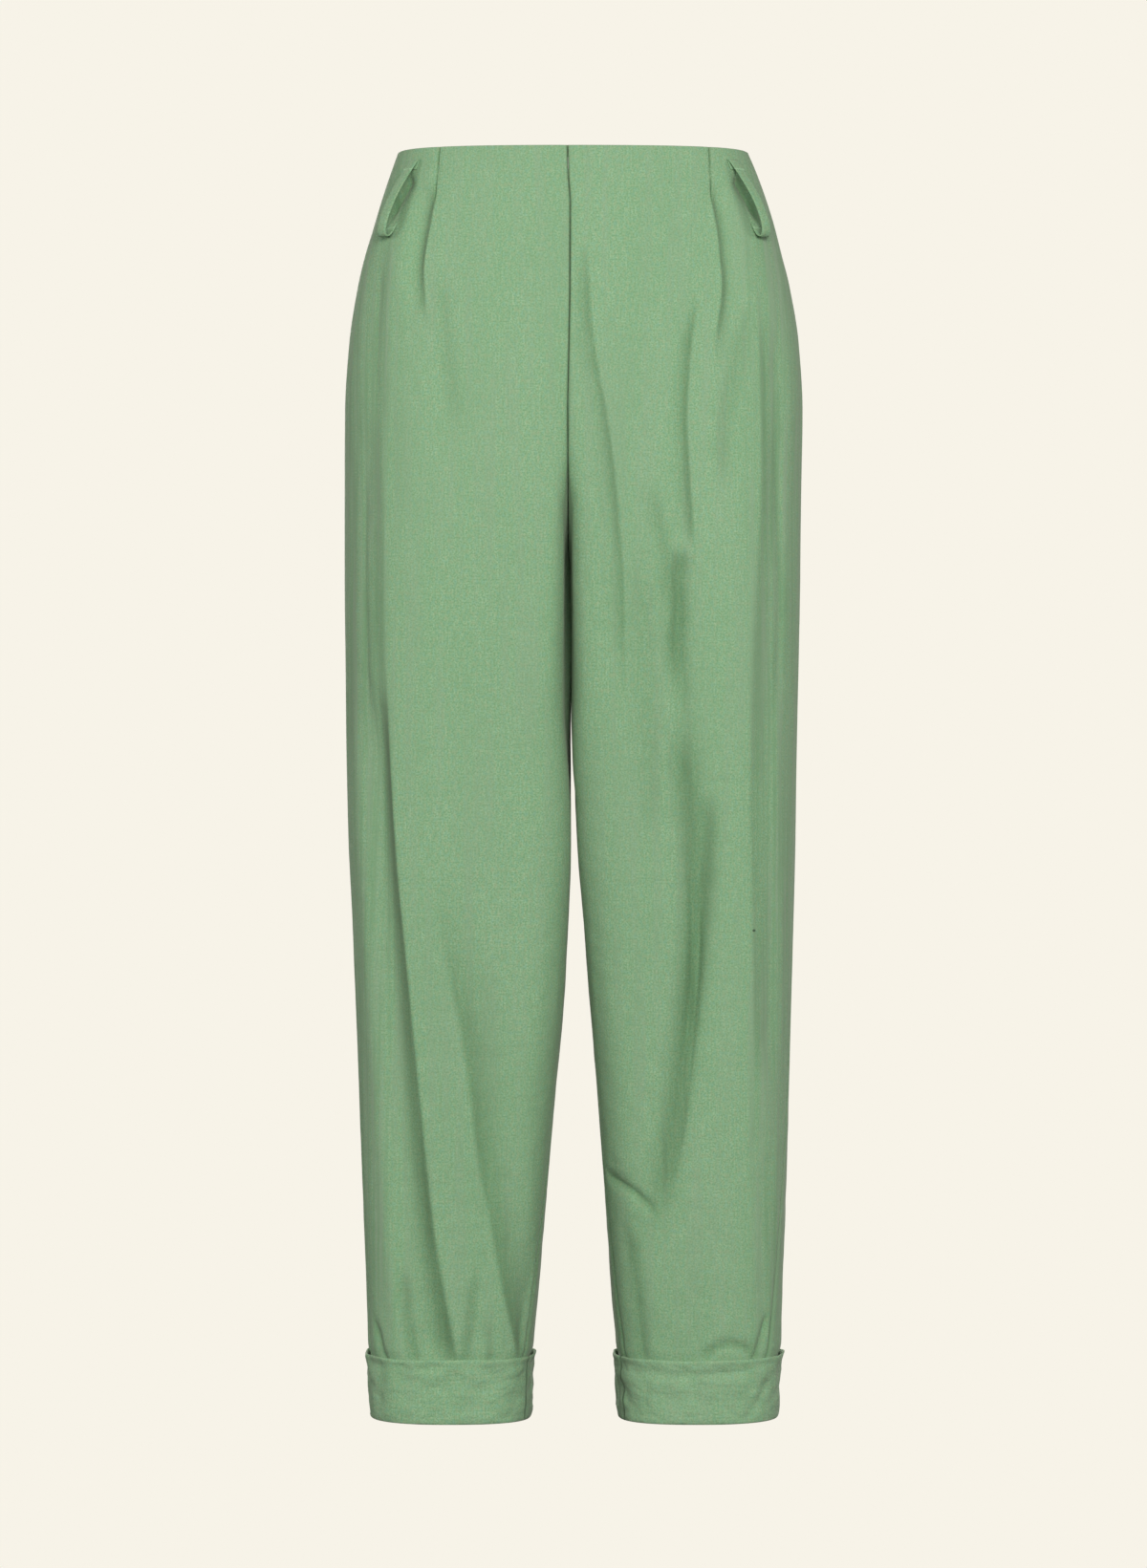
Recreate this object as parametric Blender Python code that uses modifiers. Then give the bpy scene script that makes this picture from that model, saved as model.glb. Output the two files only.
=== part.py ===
"""Cotton trousers with turned-up cuffs, filled out as if worn: two front and two back panels that run
from the clean waist edge to the hem, two cuffs, two belt loops and a concealed zip at the centre back.

+Z is up, the front faces -Y and the wearer's right leg is at -X. The origin is the middle of the waist, at
the height of the waist edge at the sides. All lengths are in metres.
"""

import math

import bmesh
import bpy
import numpy as np
from mathutils import Vector

# Driving dimensions
OUTSEAM = 0.976  # waist edge to the fold at the bottom of the cuff
CLOTH = 0.0012  # thickness of the panels' cloth
SEAM_GAP = 0.0003  # between two panels where they are sewn together
SEAM_DIP = 0.0006  # how far the cloth is drawn in along a seam
SEAM_DRAW = 0.003  # how far from the seam that reaches
WAIST_DIP = 0.0033  # how much lower the waist edge is at the centre front than at the sides

CROTCH = -0.330  # height where the four panels meet
CROTCH_Y = 0.0
CROTCH_TOP = -0.200  # height where the curved seat seam leaves the outer surface
CROTCH_DRAW = 0.025  # the legs are drawn together this near the crotch seam

INNER_POWER = 2.6  # squareness of the turn into the inner leg
OUTER_POWER = 2.3  # squareness of the turn into the side

CUFF_HEIGHT = 0.0495
PANEL_END = -OUTSEAM + 0.0018  # the panels end on the inside of the cuff's fold

LOOP_WIDTH = 0.0095
LOOP_CLOTH = 0.0016
LOOP_TOP = -0.0115  # height of the loop's upper end
LOOP_ROUND = 0.835  # how far round to the side it is sewn, as a share of the half width

ZIP_LENGTH = 0.180
TAPE_WIDTH = 0.012
TAPE_CLOTH = 0.0010
TAPE_EDGE = 0.0011  # from the centre back to the tape's inner edge
ZIP_MOUTH = 0.0011  # half of the opening that the slider's bridge stands in
SLIDER_Z = -0.0085
SLIDER_SIZE = (0.0060, 0.0030, 0.0090)
BRIDGE_OUT = 0.0022  # from the cloth to the axis that the pull turns on
BRIDGE_RADIUS = 0.0019
BRIDGE_HOLE = 0.0009
BRIDGE_THICK = 0.0010
PULL_BAR = 0.0005  # radius of the bar through the bridge
PULL_WIDTH = 0.0054
PULL_LENGTH = 0.0200
PULL_THICK = 0.0011
PULL_TILT = math.radians(13.5)  # it lies along the slope of the seat

FRONT_COLUMNS, BACK_COLUMNS = 24, 20
ROUND_STEPS = 40  # points in each quarter of an outline
TIGHTEST = 0.015  # radius below which a bend draws no more columns

MINT = (0.262, 0.455, 0.255)
MINT_DARK = (0.205, 0.330, 0.205)
ZIP_GREEN = (0.300, 0.430, 0.290)


class Curves:
    """Smooth curves through the named columns of a table, whose first column is the height."""

    def __init__(self, names, rows):
        self.names = names.split()
        rows = np.array(sorted(rows))
        self.z, self.values = rows[:, 0], rows[:, 1:]
        slope = np.diff(self.values, axis=0) / np.diff(self.z)[:, None]
        both = slope[1:] * slope[:-1]
        total = slope[1:] + slope[:-1]
        mean = np.where(both > 0, 2 * both / np.where(both > 0, total, 1), 0)
        self.slope = np.vstack([slope[:1], mean, slope[-1:]])

    def __call__(self, name, z):
        k = self.names.index(name)
        z = np.clip(z, self.z[0], self.z[-1])
        i = np.clip(np.searchsorted(self.z, z) - 1, 0, len(self.z) - 2)
        step = self.z[i + 1] - self.z[i]
        t = (z - self.z[i]) / step
        ends = self.values[i, k] * (1 + 2 * t) * (1 - t) ** 2 + self.values[i + 1, k] * t * t * (3 - 2 * t)
        return ends + step * t * (1 - t) * ((1 - t) * self.slope[i, k] - t * self.slope[i + 1, k])


# Half widths from the centre line: the sides, and the inner legs below the crotch
WIDTHS = Curves(
    "side_right side_left inner_right inner_left",
    (
        (0.000, 0.1355, 0.1355, 0.00015, 0.00015),
        (-0.014, 0.1405, 0.1415, 0.00015, 0.00015),
        (-0.036, 0.1478, 0.1495, 0.00015, 0.00015),
        (-0.058, 0.1543, 0.1562, 0.00015, 0.00015),
        (-0.080, 0.1610, 0.1617, 0.00015, 0.00015),
        (-0.102, 0.1661, 0.1672, 0.00015, 0.00015),
        (-0.146, 0.1728, 0.1742, 0.00015, 0.00015),
        (-0.200, 0.1762, 0.1772, 0.00015, 0.00015),
        (-0.250, 0.1765, 0.1764, 0.0006, 0.0006),
        (-0.330, 0.1765, 0.1753, 0.0009, 0.0009),
        (-0.400, 0.1758, 0.1740, 0.0009, 0.0009),
        (-0.425, 0.1756, 0.1735, 0.0013, 0.0009),
        (-0.472, 0.1750, 0.1728, 0.0022, 0.0014),
        (-0.531, 0.1735, 0.1720, 0.0018, 0.0034),
        (-0.590, 0.1706, 0.1706, 0.0041, 0.0085),
        (-0.650, 0.1684, 0.1691, 0.0070, 0.0129),
        (-0.709, 0.1661, 0.1676, 0.0122, 0.0174),
        (-0.768, 0.1639, 0.1661, 0.0174, 0.0218),
        (-0.827, 0.1617, 0.1639, 0.0226, 0.0263),
        (-0.886, 0.1595, 0.1617, 0.0277, 0.0307),
        (-0.916, 0.1585, 0.1609, 0.0307, 0.0336),
        (-0.946, 0.1564, 0.1583, 0.0330, 0.0348),
        (-0.976, 0.1552, 0.1572, 0.0338, 0.0362),
    ),
)

# The front and back: where they stand out furthest, how far, and how deep the turn to the inner leg is
DEPTHS = Curves(
    "crown front back roll",
    (
        (0.000, 0.002, 0.088, 0.092, 0.00002),
        (-0.050, 0.010, 0.099, 0.103, 0.00002),
        (-0.100, 0.022, 0.106, 0.114, 0.0003),
        (-0.150, 0.036, 0.111, 0.121, 0.0012),
        (-0.200, 0.052, 0.114, 0.123, 0.0045),
        (-0.260, 0.067, 0.115, 0.120, 0.0140),
        (-0.330, 0.079, 0.113, 0.112, 0.0250),
        (-0.400, 0.084, 0.109, 0.106, 0.0320),
        (-0.480, 0.087, 0.103, 0.100, 0.0400),
        (-0.560, 0.089, 0.097, 0.094, 0.0460),
        (-0.640, 0.091, 0.090, 0.088, 0.0520),
        (-0.720, 0.093, 0.083, 0.081, 0.0580),
        (-0.800, 0.095, 0.076, 0.074, 0.0620),
        (-0.880, 0.096, 0.068, 0.067, 0.0630),
        (-0.926, 0.096, 0.063, 0.063, 0.0620),
        (-0.976, 0.096, 0.061, 0.061, 0.0605),
    ),
)

# How far in front of the middle (-Y) the seams between front and back run
SEAMS = Curves(
    "side_right side_left inseam",
    (
        (0.000, 0.000, 0.000, 0.000),
        (-0.330, -0.004, -0.004, 0.000),
        (-0.487, -0.010, -0.010, 0.000),
        (-0.560, -0.016, -0.016, -0.006),
        (-0.640, -0.021, -0.021, -0.024),
        (-0.720, -0.022, -0.026, -0.030),
        (-0.976, -0.020, -0.043, -0.034),
    ),
)

# The largest folds: leg, panel, width and height (negative is a trough), then points along it as the
# distance from the centre line and the height
FOLDS = (
    ("right", "front", 0.0055, -0.0022, ((0.1054, -0.042), (0.1115, -0.076), (0.1130, -0.097), (0.1090, -0.140))),
    ("right", "front", 0.0110, -0.0030, ((0.1450, -0.079), (0.1500, -0.156), (0.1555, -0.240), (0.1560, -0.330),
                                         (0.1540, -0.400), (0.1500, -0.480))),
    ("right", "front", 0.0105, -0.0062, ((0.1500, -0.440), (0.1380, -0.525), (0.1285, -0.591), (0.1206, -0.658),
                                         (0.1150, -0.725), (0.1106, -0.792), (0.1040, -0.859), (0.0930, -0.915))),
    ("right", "front", 0.0120, -0.0030, ((0.1050, -0.567), (0.0950, -0.624), (0.0886, -0.673), (0.0754, -0.730),
                                         (0.0640, -0.774), (0.0550, -0.818), (0.0490, -0.858))),
    ("left", "front", 0.0055, -0.0022, ((0.1070, -0.042), (0.1134, -0.070), (0.1164, -0.097), (0.1135, -0.124),
                                        (0.1080, -0.160))),
    ("left", "front", 0.0110, -0.0026, ((0.1056, -0.109), (0.0984, -0.137), (0.0890, -0.170), (0.0860, -0.210),
                                        (0.0890, -0.261), (0.0870, -0.318), (0.0767, -0.355), (0.0846, -0.406),
                                        (0.0796, -0.470))),
    ("left", "front", 0.0120, -0.0028, ((0.1510, -0.120), (0.1560, -0.240), (0.1580, -0.350), (0.1560, -0.470))),
    ("left", "front", 0.0125, -0.0065, ((0.0820, -0.455), (0.0925, -0.541), (0.0925, -0.591), (0.0877, -0.658),
                                        (0.0796, -0.708), (0.0728, -0.759), (0.0662, -0.809), (0.0580, -0.850))),
    ("right", "back", 0.0060, -0.0018, ((0.0600, -0.060), (0.0640, -0.110), (0.0660, -0.165))),
    ("left", "back", 0.0060, -0.0018, ((0.0610, -0.060), (0.0650, -0.112), (0.0680, -0.160))),
    ("right", "back", 0.0130, -0.0055, ((0.0400, -0.330), (0.0620, -0.400), (0.0800, -0.480), (0.0920, -0.580),
                                        (0.1000, -0.680))),
    ("left", "back", 0.0120, -0.0052, ((0.0380, -0.345), (0.0570, -0.410), (0.0790, -0.500), (0.0860, -0.600),
                                       (0.0900, -0.660))),
    ("right", "back", 0.0120, -0.0035, ((0.1380, -0.270), (0.1280, -0.380), (0.1330, -0.480), (0.1380, -0.560))),
    ("left", "back", 0.0120, -0.0038, ((0.1370, -0.300), (0.1290, -0.400), (0.1350, -0.520))),
    ("right", "back", 0.0110, -0.0040, ((0.1320, -0.640), (0.1180, -0.720), (0.1050, -0.800), (0.0970, -0.890))),
    ("left", "back", 0.0110, -0.0036, ((0.1280, -0.680), (0.1150, -0.760), (0.1010, -0.850))),
)
FOLD_FADE = 0.040

# The belt loop's middle line: how far it stands off the cloth, and how far down it is from its top end
LOOP_PATH = (
    (0.0012, 0.0070),
    (0.0012, 0.0010),
    (0.0022, -0.0018),
    (0.0036, 0.0020),
    (0.0062, 0.0170),
    (0.0096, 0.0350),
    (0.0104, 0.0460),
    (0.0092, 0.0530),
    (0.0060, 0.0562),
    (0.0026, 0.0535),
    (0.0012, 0.0460),
)

# Outline of the cuff's cloth across its fold: how far outside the leg's surface, and the height
CUFF_OUTLINE = (
    (0.00035, -OUTSEAM + CUFF_HEIGHT - 0.0030),
    (0.00035, -OUTSEAM + 0.0140),
    (0.00035, -OUTSEAM + 0.0014),
    (-0.00120, -OUTSEAM + 0.0014),
    (-0.00140, -OUTSEAM + 0.0006),
    (-0.00040, -OUTSEAM),
    (0.00180, -OUTSEAM + 0.0003),
    (0.00280, -OUTSEAM + 0.0020),
    (0.00300, -OUTSEAM + 0.0160),
    (0.00320, -OUTSEAM + CUFF_HEIGHT - 0.0100),
    (0.00330, -OUTSEAM + CUFF_HEIGHT - 0.0024),
    (0.00260, -OUTSEAM + CUFF_HEIGHT - 0.0006),
    (0.00160, -OUTSEAM + CUFF_HEIGHT),
    (0.00070, -OUTSEAM + CUFF_HEIGHT - 0.0008),
)


def smooth(t):
    t = np.clip(t, 0, 1)
    return t * t * (3 - 2 * t)


def fold_at(fold, z):
    """Where a fold crosses the height z, and how much of its height is left there."""
    points = sorted(fold[4], key=lambda p: p[1])
    along = [p[1] for p in points]
    fade = smooth((z - along[0]) / FOLD_FADE) * smooth((along[-1] - z) / FOLD_FADE)
    return np.interp(z, along, [p[0] for p in points]), fade


class Section:
    """One half's outline at a height: it runs from the middle of the back over the inner leg, the front
    and the side to the back again, and on to the inner leg once more."""

    def __init__(self, leg, z):
        self.sign = 1 if leg == "left" else -1
        self.z = z
        side, inner = WIDTHS("side_" + leg, z), WIDTHS("inner_" + leg, z)
        front, back, roll = (DEPTHS(name, z) for name in ("front", "back", "roll"))
        crown = max(DEPTHS("crown", z), inner + 0.001)
        turn = np.linspace(0, math.pi / 2, ROUND_STEPS)
        cos_in, sin_in = np.cos(turn) ** (2 / INNER_POWER), np.sin(turn) ** (2 / INNER_POWER)
        cos_out, sin_out = np.cos(turn) ** (2 / OUTER_POWER), np.sin(turn) ** (2 / OUTER_POWER)
        wall = np.linspace(back - roll, roll - front, ROUND_STEPS)[1:-1]
        x = [crown - (crown - inner) * cos_in[::-1], np.full(len(wall), inner)]
        y = [back - roll + roll * sin_in[::-1], wall]
        x += [crown - (crown - inner) * cos_in, crown + (side - crown) * cos_out[::-1][1:]]
        y += [roll - front - roll * sin_in, -front * sin_out[::-1][1:]]
        x += [crown + (side - crown) * cos_out[1:]]
        y += [back * sin_out[1:]]
        at_turn = sum(len(part) for part in x[:2])
        at_front = at_turn + ROUND_STEPS - 1
        at_side = at_front + ROUND_STEPS - 1
        x, y = np.concatenate(x), np.concatenate(y)
        x += self.drawn_together(x, y, inner, front - roll, back - roll)

        # The stretch from seam to seam, once round
        s = np.append(0, np.cumsum(np.hypot(np.diff(x), np.diff(y))))
        ends = -np.array(self.seat_seams(front - roll, back - roll))
        self.start, last = np.interp(ends, -y[: at_front + 1], s[: at_front + 1])
        self.side = np.interp(SEAMS("side_" + leg, z), y[at_front:], s[at_front:])
        self.end, self.total = s[-1] + last, s[-1]
        self.folds = []
        for fold in FOLDS:
            across, fade = fold_at(fold, z)
            if fold[0] != leg or fade <= 0:
                continue
            if fold[1] == "front":
                place = np.interp(across, x[at_turn : at_side + 1], s[at_turn : at_side + 1])
            else:
                behind_x = np.concatenate([x[at_side:], x[1:ROUND_STEPS]])
                behind_s = np.concatenate([s[at_side:], s[-1] + s[1:ROUND_STEPS]])
                place = np.interp(-across, -behind_x, behind_s)
            self.folds.append((place, fold[2], fold[3] * fade))
        s_twice = np.concatenate([s, s[-1] + s[1 : at_front + 1]])
        within = s_twice[(s_twice > self.start + 1e-5) & (s_twice < self.end - 1e-5)]
        self.s = np.concatenate([[self.start], within, [self.end]])
        x, y = (np.interp(self.s, s_twice, np.append(v, v[1 : at_front + 1])) for v in (x, y))

        # The folds, and the groove along each seam
        push = np.zeros_like(x)
        for place, width, height in self.folds:
            push += height * np.exp(-((self.apart(self.s, place) / width) ** 2))
        for seam in (self.start, self.side, self.end):
            push -= SEAM_DIP * np.exp(-(((self.s - seam) / SEAM_DRAW) ** 2))
        dx, dy = np.gradient(x, self.s), np.gradient(y, self.s)
        size = np.hypot(dx, dy)
        self.normal = np.stack([dy / size, -dx / size], axis=1)
        self.line = np.stack([x, y], axis=1) + self.normal * push[:, None]
        self.bend = np.clip(np.abs(np.gradient(np.unwrap(np.arctan2(dy, dx)), self.s)), 0, 1 / TIGHTEST)
        self.front = front

    def apart(self, s, place):
        """Distance along the closed outline from a place on it."""
        return (s - place + self.total / 2) % self.total - self.total / 2

    def seat_seams(self, front, back):
        """How far back (+Y) the two ends of the half lie: on the seat seam, or on the inseam."""
        if self.z <= CROTCH:
            inseam = SEAMS("inseam", self.z) + CROTCH_Y
            return inseam - SEAM_GAP / 2, inseam + SEAM_GAP / 2
        rise = min((self.z - CROTCH) / (CROTCH_TOP - CROTCH), 1)
        reach = math.sqrt(1 - (1 - rise) ** 2)
        middle = CROTCH_Y
        return (
            middle - SEAM_GAP / 2 - (front + middle - SEAM_GAP / 2) * reach,
            middle + SEAM_GAP / 2 + (back - middle - SEAM_GAP / 2) * reach,
        )

    def drawn_together(self, x, y, inner, front, back):
        """How far the inner leg is moved sideways, to the crotch seam."""
        ahead, behind = self.seat_seams(front, back)
        if self.z > CROTCH:
            away = np.where(y < CROTCH_Y, np.abs(y - ahead), np.abs(y - behind))
        else:
            away = np.hypot(y - CROTCH_Y, self.z - CROTCH)
        near = np.exp(-(((x - inner) / 0.008) ** 2))
        return (SEAM_GAP / 2 - inner) * (1 - smooth(away / CROTCH_DRAW)) * near

    def points(self, s, out=0.0):
        """Points at arc lengths s, moved out of the cloth's outer surface."""
        at = np.stack([np.interp(s, self.s, self.line[:, k]) for k in (0, 1)], axis=-1)
        normal = np.stack([np.interp(s, self.s, self.normal[:, k]) for k in (0, 1)], axis=-1)
        at = at + normal * np.asarray(out)[..., None]
        dip = WAIST_DIP * np.clip(-at[..., 1] / self.front, 0, 1) ** 2 * math.exp(min(self.z, 0) / 0.03)
        return np.stack([self.sign * at[..., 0], at[..., 1], self.z - dip], axis=-1)

    def columns(self, first, last, count):
        """Places along the outline, closer together at bends, at folds and at both ends."""
        s = np.linspace(first, last, 600)
        dense = 1 + 0.035 * np.interp(s, self.s, self.bend)
        dense += 3 * np.exp(-(s - first) / SEAM_DRAW) + 3 * np.exp(-(last - s) / SEAM_DRAW)
        for place, width, height in self.folds:
            share = min(abs(height) / 0.003, 1)
            dense += 3 * share * np.exp(-((self.apart(s, place) / (1.3 * width)) ** 2))
        run = np.append(0, np.cumsum((dense[1:] + dense[:-1]) / 2))
        return np.interp(np.linspace(0, run[-1], count), run, s)


def panel_columns(section, panel):
    gap = SEAM_GAP / 2
    if panel == "front":
        return section.columns(section.start, section.side - gap, FRONT_COLUMNS)
    return section.columns(section.side + gap, section.end, BACK_COLUMNS)


def levels():
    """Heights of the rings: evenly spaced along the curve of the seat seam, and open above and below it."""
    above = [0.0, -0.013, -0.030, -0.054, -0.086, -0.124, -0.163]
    angles = np.radians([90, 72, 55, 38, 22, 8, 0])
    seat = [CROTCH + (CROTCH_TOP - CROTCH) * (1 - math.cos(a)) for a in angles]
    below = [-0.345, -0.372, -0.412, -0.458, -0.504, -0.550, -0.596, -0.642, -0.688, -0.734]
    below += [-0.780, -0.826, -0.870, -0.905, -0.930, PANEL_END]
    return above + seat + below


def material(name, colour, roughness, metallic=0.0):
    made = bpy.data.materials.new(name)
    made.use_nodes = True
    shader = made.node_tree.nodes["Principled BSDF"]
    shader.inputs["Base Color"].default_value = (*colour, 1)
    shader.inputs["Roughness"].default_value = roughness
    shader.inputs["Metallic"].default_value = metallic
    made.diffuse_color = (*colour, 1)
    return made


def add_object(name, mesh, look):
    mesh.materials.append(look)
    mesh.polygons.foreach_set("use_smooth", [True] * len(mesh.polygons))
    made = bpy.data.objects.new(name, mesh)
    collection.objects.link(made)
    return made


def cloth(name, rows, look, thickness, flip=False):
    """A shell through rows of points, listed from the top down and each from left to right as seen from
    outside; its thickness lies behind it."""
    rows = np.array(rows)[::-1]
    down, across = len(rows) - 1, len(rows[0]) - 1
    grid = bmesh.new()
    bmesh.ops.create_grid(grid, x_segments=across, y_segments=down, size=1)
    for vertex in grid.verts:
        i = round((vertex.co.y + 1) / 2 * down)
        j = round((vertex.co.x + 1) / 2 * across)
        vertex.co = Vector(rows[i, j])
    if flip:
        bmesh.ops.reverse_faces(grid, faces=grid.faces[:])
    mesh = bpy.data.meshes.new(name)
    grid.to_mesh(mesh)
    grid.free()
    made = add_object(name, mesh, look)
    shell = made.modifiers.new("Cloth", "SOLIDIFY")
    shell.thickness = thickness
    shell.offset = -1
    return made


def ring(name, loops, look):
    """A closed solid through closed loops of points, the last of which joins the first."""
    loops = np.array(loops)
    count, around = loops.shape[:2]
    body = bmesh.new()
    verts = [[body.verts.new(point) for point in loop] for loop in loops]
    for i in range(count):
        for j in range(around):
            a, b = verts[i], verts[(i + 1) % count]
            k = (j + 1) % around
            body.faces.new((a[j], a[k], b[k], b[j]))
    bmesh.ops.recalc_face_normals(body, faces=body.faces[:])
    mesh = bpy.data.meshes.new(name)
    body.to_mesh(mesh)
    body.free()
    return add_object(name, mesh, look)


def belt_loop(name, leg, look):
    """The strap: its middle line, thickened to both sides and as wide as the loop."""
    line = np.array(LOOP_PATH)
    along = np.gradient(line, axis=0)
    along /= np.hypot(along[:, 0], along[:, 1])[:, None]
    turned = np.stack([-along[:, 1], along[:, 0]], axis=1)
    both = [line + turned * LOOP_CLOTH / 2, line - turned * LOOP_CLOTH / 2]
    outline = np.concatenate([both[0], both[1][::-1]])
    loops = []
    for share in (-0.5, 0.0, 0.5):
        loop = []
        for off, down in outline:
            section = Section(leg, LOOP_TOP - down)
            reach = LOOP_ROUND * WIDTHS("side_" + leg, section.z)
            outer = (section.s > section.start) & (section.s < section.side)
            ahead = outer & (section.line[:, 1] < -0.02)
            place = np.interp(reach, section.line[ahead, 0], section.s[ahead])
            loop.append(section.points(place + share * LOOP_WIDTH, off))
        loops.append(loop)
    loops = np.array(loops)
    half = len(line)
    strap = bmesh.new()
    verts = [[strap.verts.new(point) for point in loop] for loop in loops]
    around = len(outline)
    for a, b in zip(verts, verts[1:]):
        for j in range(around):
            k = (j + 1) % around
            strap.faces.new((a[j], a[k], b[k], b[j]))
    for edge in (verts[0], verts[-1]):
        for j in range(half - 1):
            strap.faces.new((edge[j], edge[j + 1], edge[around - 2 - j], edge[around - 1 - j]))
    bmesh.ops.recalc_face_normals(strap, faces=strap.faces[:])
    mesh = bpy.data.meshes.new(name)
    strap.to_mesh(mesh)
    strap.free()
    return add_object(name, mesh, look)


def zip_tape(name, leg, look):
    """A strip inside the back panel, beside the centre back seam."""
    rows = []
    for z in np.linspace(-0.0015, -ZIP_LENGTH, 9):
        section = Section(leg, z)
        inside = -CLOTH - SEAM_GAP - SEAM_DIP * 1.2
        centre = section.end
        places = centre - np.array([TAPE_WIDTH + TAPE_EDGE, TAPE_WIDTH / 2, TAPE_EDGE])
        rows.append(section.points(places, inside))
    return cloth(name, rows, look, TAPE_CLOTH, flip=leg == "right")


def box(body, centre, size):
    made = bmesh.ops.create_cube(body, size=1)["verts"]
    for vertex in made:
        vertex.co = Vector(centre) + Vector([vertex.co[k] * size[k] for k in range(3)])


def joined(target, tool, operation):
    """Cuts or adds one object with another, and keeps the result as the first one's own mesh."""
    change = target.modifiers.new(operation, "BOOLEAN")
    change.operation = operation
    change.object = tool
    bpy.context.view_layer.update()
    result = bpy.data.meshes.new_from_object(target.evaluated_get(bpy.context.evaluated_depsgraph_get()))
    target.modifiers.clear()
    target.data = result
    bpy.data.objects.remove(tool)


def block(name, centre, size, look):
    body = bmesh.new()
    box(body, centre, size)
    mesh = bpy.data.meshes.new(name)
    body.to_mesh(mesh)
    body.free()
    return add_object(name, mesh, look)


def pin(name, centre, radius, length, look, sides=16):
    """A round bar along X."""
    body = bmesh.new()
    bmesh.ops.create_cone(body, cap_ends=True, segments=sides, radius1=radius, radius2=radius, depth=length)
    for vertex in body.verts:
        x, y, z = vertex.co
        vertex.co = Vector(centre) + Vector((z, x, y))
    mesh = bpy.data.meshes.new(name)
    body.to_mesh(mesh)
    body.free()
    return add_object(name, mesh, look)


for startup in list(bpy.data.objects):
    bpy.data.objects.remove(startup)
collection = bpy.data.collections.new("Cotton trousers")
bpy.context.scene.collection.children.link(collection)

cotton = material("Cotton", MINT, 0.92)
cotton_folded = material("Cotton, folded", MINT_DARK, 0.92)
tape_cloth = material("Zip tape", ZIP_GREEN, 0.85)
zip_metal = material("Zip metal", (0.55, 0.58, 0.55), 0.35, 1.0)

# The four panels
for leg in ("right", "left"):
    sections = [Section(leg, z) for z in levels()]
    for panel in ("front", "back"):
        rows = []
        for section in sections:
            row = section.points(panel_columns(section, panel))
            if panel == "back":
                mouth = (ZIP_MOUTH - SEAM_GAP / 2) * smooth((section.z + 0.022) / 0.008)
                edge = np.exp(-((section.end - panel_columns(section, panel)) / 0.004) ** 2)
                row[:, 0] += section.sign * mouth * edge
            rows.append(row)
        cloth(f"{panel}_{leg}", rows, cotton, CLOTH, flip=leg == "right")

# The cuffs, as rings round the ends of the legs
for leg in ("right", "left"):
    loops = []
    for out, z in CUFF_OUTLINE:
        section = Section(leg, z)
        places = np.concatenate([panel_columns(section, "front"), panel_columns(section, "back")])
        section_points = section.points(places, out)
        keep = np.ones(len(places), bool)
        keep[[FRONT_COLUMNS - 1, -1]] = False
        loops.append(section_points[keep])
    ring(f"cuff_{leg}", loops, cotton_folded)

for leg in ("right", "left"):
    belt_loop(f"belt_loop_{leg}", leg, cotton_folded)
    zip_tape(f"zip_tape_{leg}", leg, tape_cloth)

# The zip's slider behind the tapes, with a bridge that stands out between the panels, along the cloth's slope
seat, seat_below = Section("left", SLIDER_Z), Section("left", SLIDER_Z - 0.010)
cloth_y, below_y = (float(at.points(np.array([at.end]), SEAM_DIP)[0, 1]) for at in (seat, seat_below))
slope = math.atan2(below_y - cloth_y, 0.010)
behind = CLOTH + TAPE_CLOTH + SEAM_DIP * 1.7 + SEAM_GAP * 2
neck_from, neck_to = -behind - SLIDER_SIZE[1] / 2, BRIDGE_OUT - 1.3 * BRIDGE_HOLE
neck_size = (0.9 * BRIDGE_THICK, neck_to - neck_from, 0.0026)
bridge = pin("bridge", (0, BRIDGE_OUT, 0), BRIDGE_RADIUS, BRIDGE_THICK, zip_metal)
joined(bridge, pin("eye", (0, BRIDGE_OUT, 0), BRIDGE_HOLE, BRIDGE_THICK * 3, zip_metal), "DIFFERENCE")
joined(bridge, block("neck", (0, (neck_from + neck_to) / 2, 0), neck_size, zip_metal), "UNION")
slider = block("zip_slider", (0, -behind - SLIDER_SIZE[1] / 2, 0), SLIDER_SIZE, zip_metal)
joined(slider, bridge, "UNION")
slider.location = (0, cloth_y, SLIDER_Z)
slider.rotation_euler = (slope, 0, 0)

# The pull: a bar through the bridge, two arms and a tab, hanging along the cloth
pull = pin("zip_pull", (0, 0, 0), PULL_BAR, PULL_WIDTH, zip_metal, 10)
for side in (-1, 1):
    arm = (side * (PULL_WIDTH / 2 - 0.0005), 0, -0.0026)
    joined(pull, block("arm", arm, (0.0010, PULL_THICK, 0.0052), zip_metal), "UNION")
tab_top = -0.0040
tab = (0, 0, (tab_top - PULL_LENGTH) / 2)
joined(pull, block("tab", tab, (PULL_WIDTH * 0.98, PULL_THICK * 0.98, PULL_LENGTH + tab_top), zip_metal), "UNION")
pull.location = (0, cloth_y + BRIDGE_OUT * math.cos(slope), SLIDER_Z + BRIDGE_OUT * math.sin(slope))
pull.rotation_euler = (PULL_TILT, 0, 0)
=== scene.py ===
"""Mint cotton trousers, filled out as if worn: two front and two back panels with darts, two turned-up
cuffs, two belt loops and a concealed zip at the centre back. All lengths are in metres.
"""

import math

import bmesh
import bpy
import numpy as np
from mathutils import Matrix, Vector, noise


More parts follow.
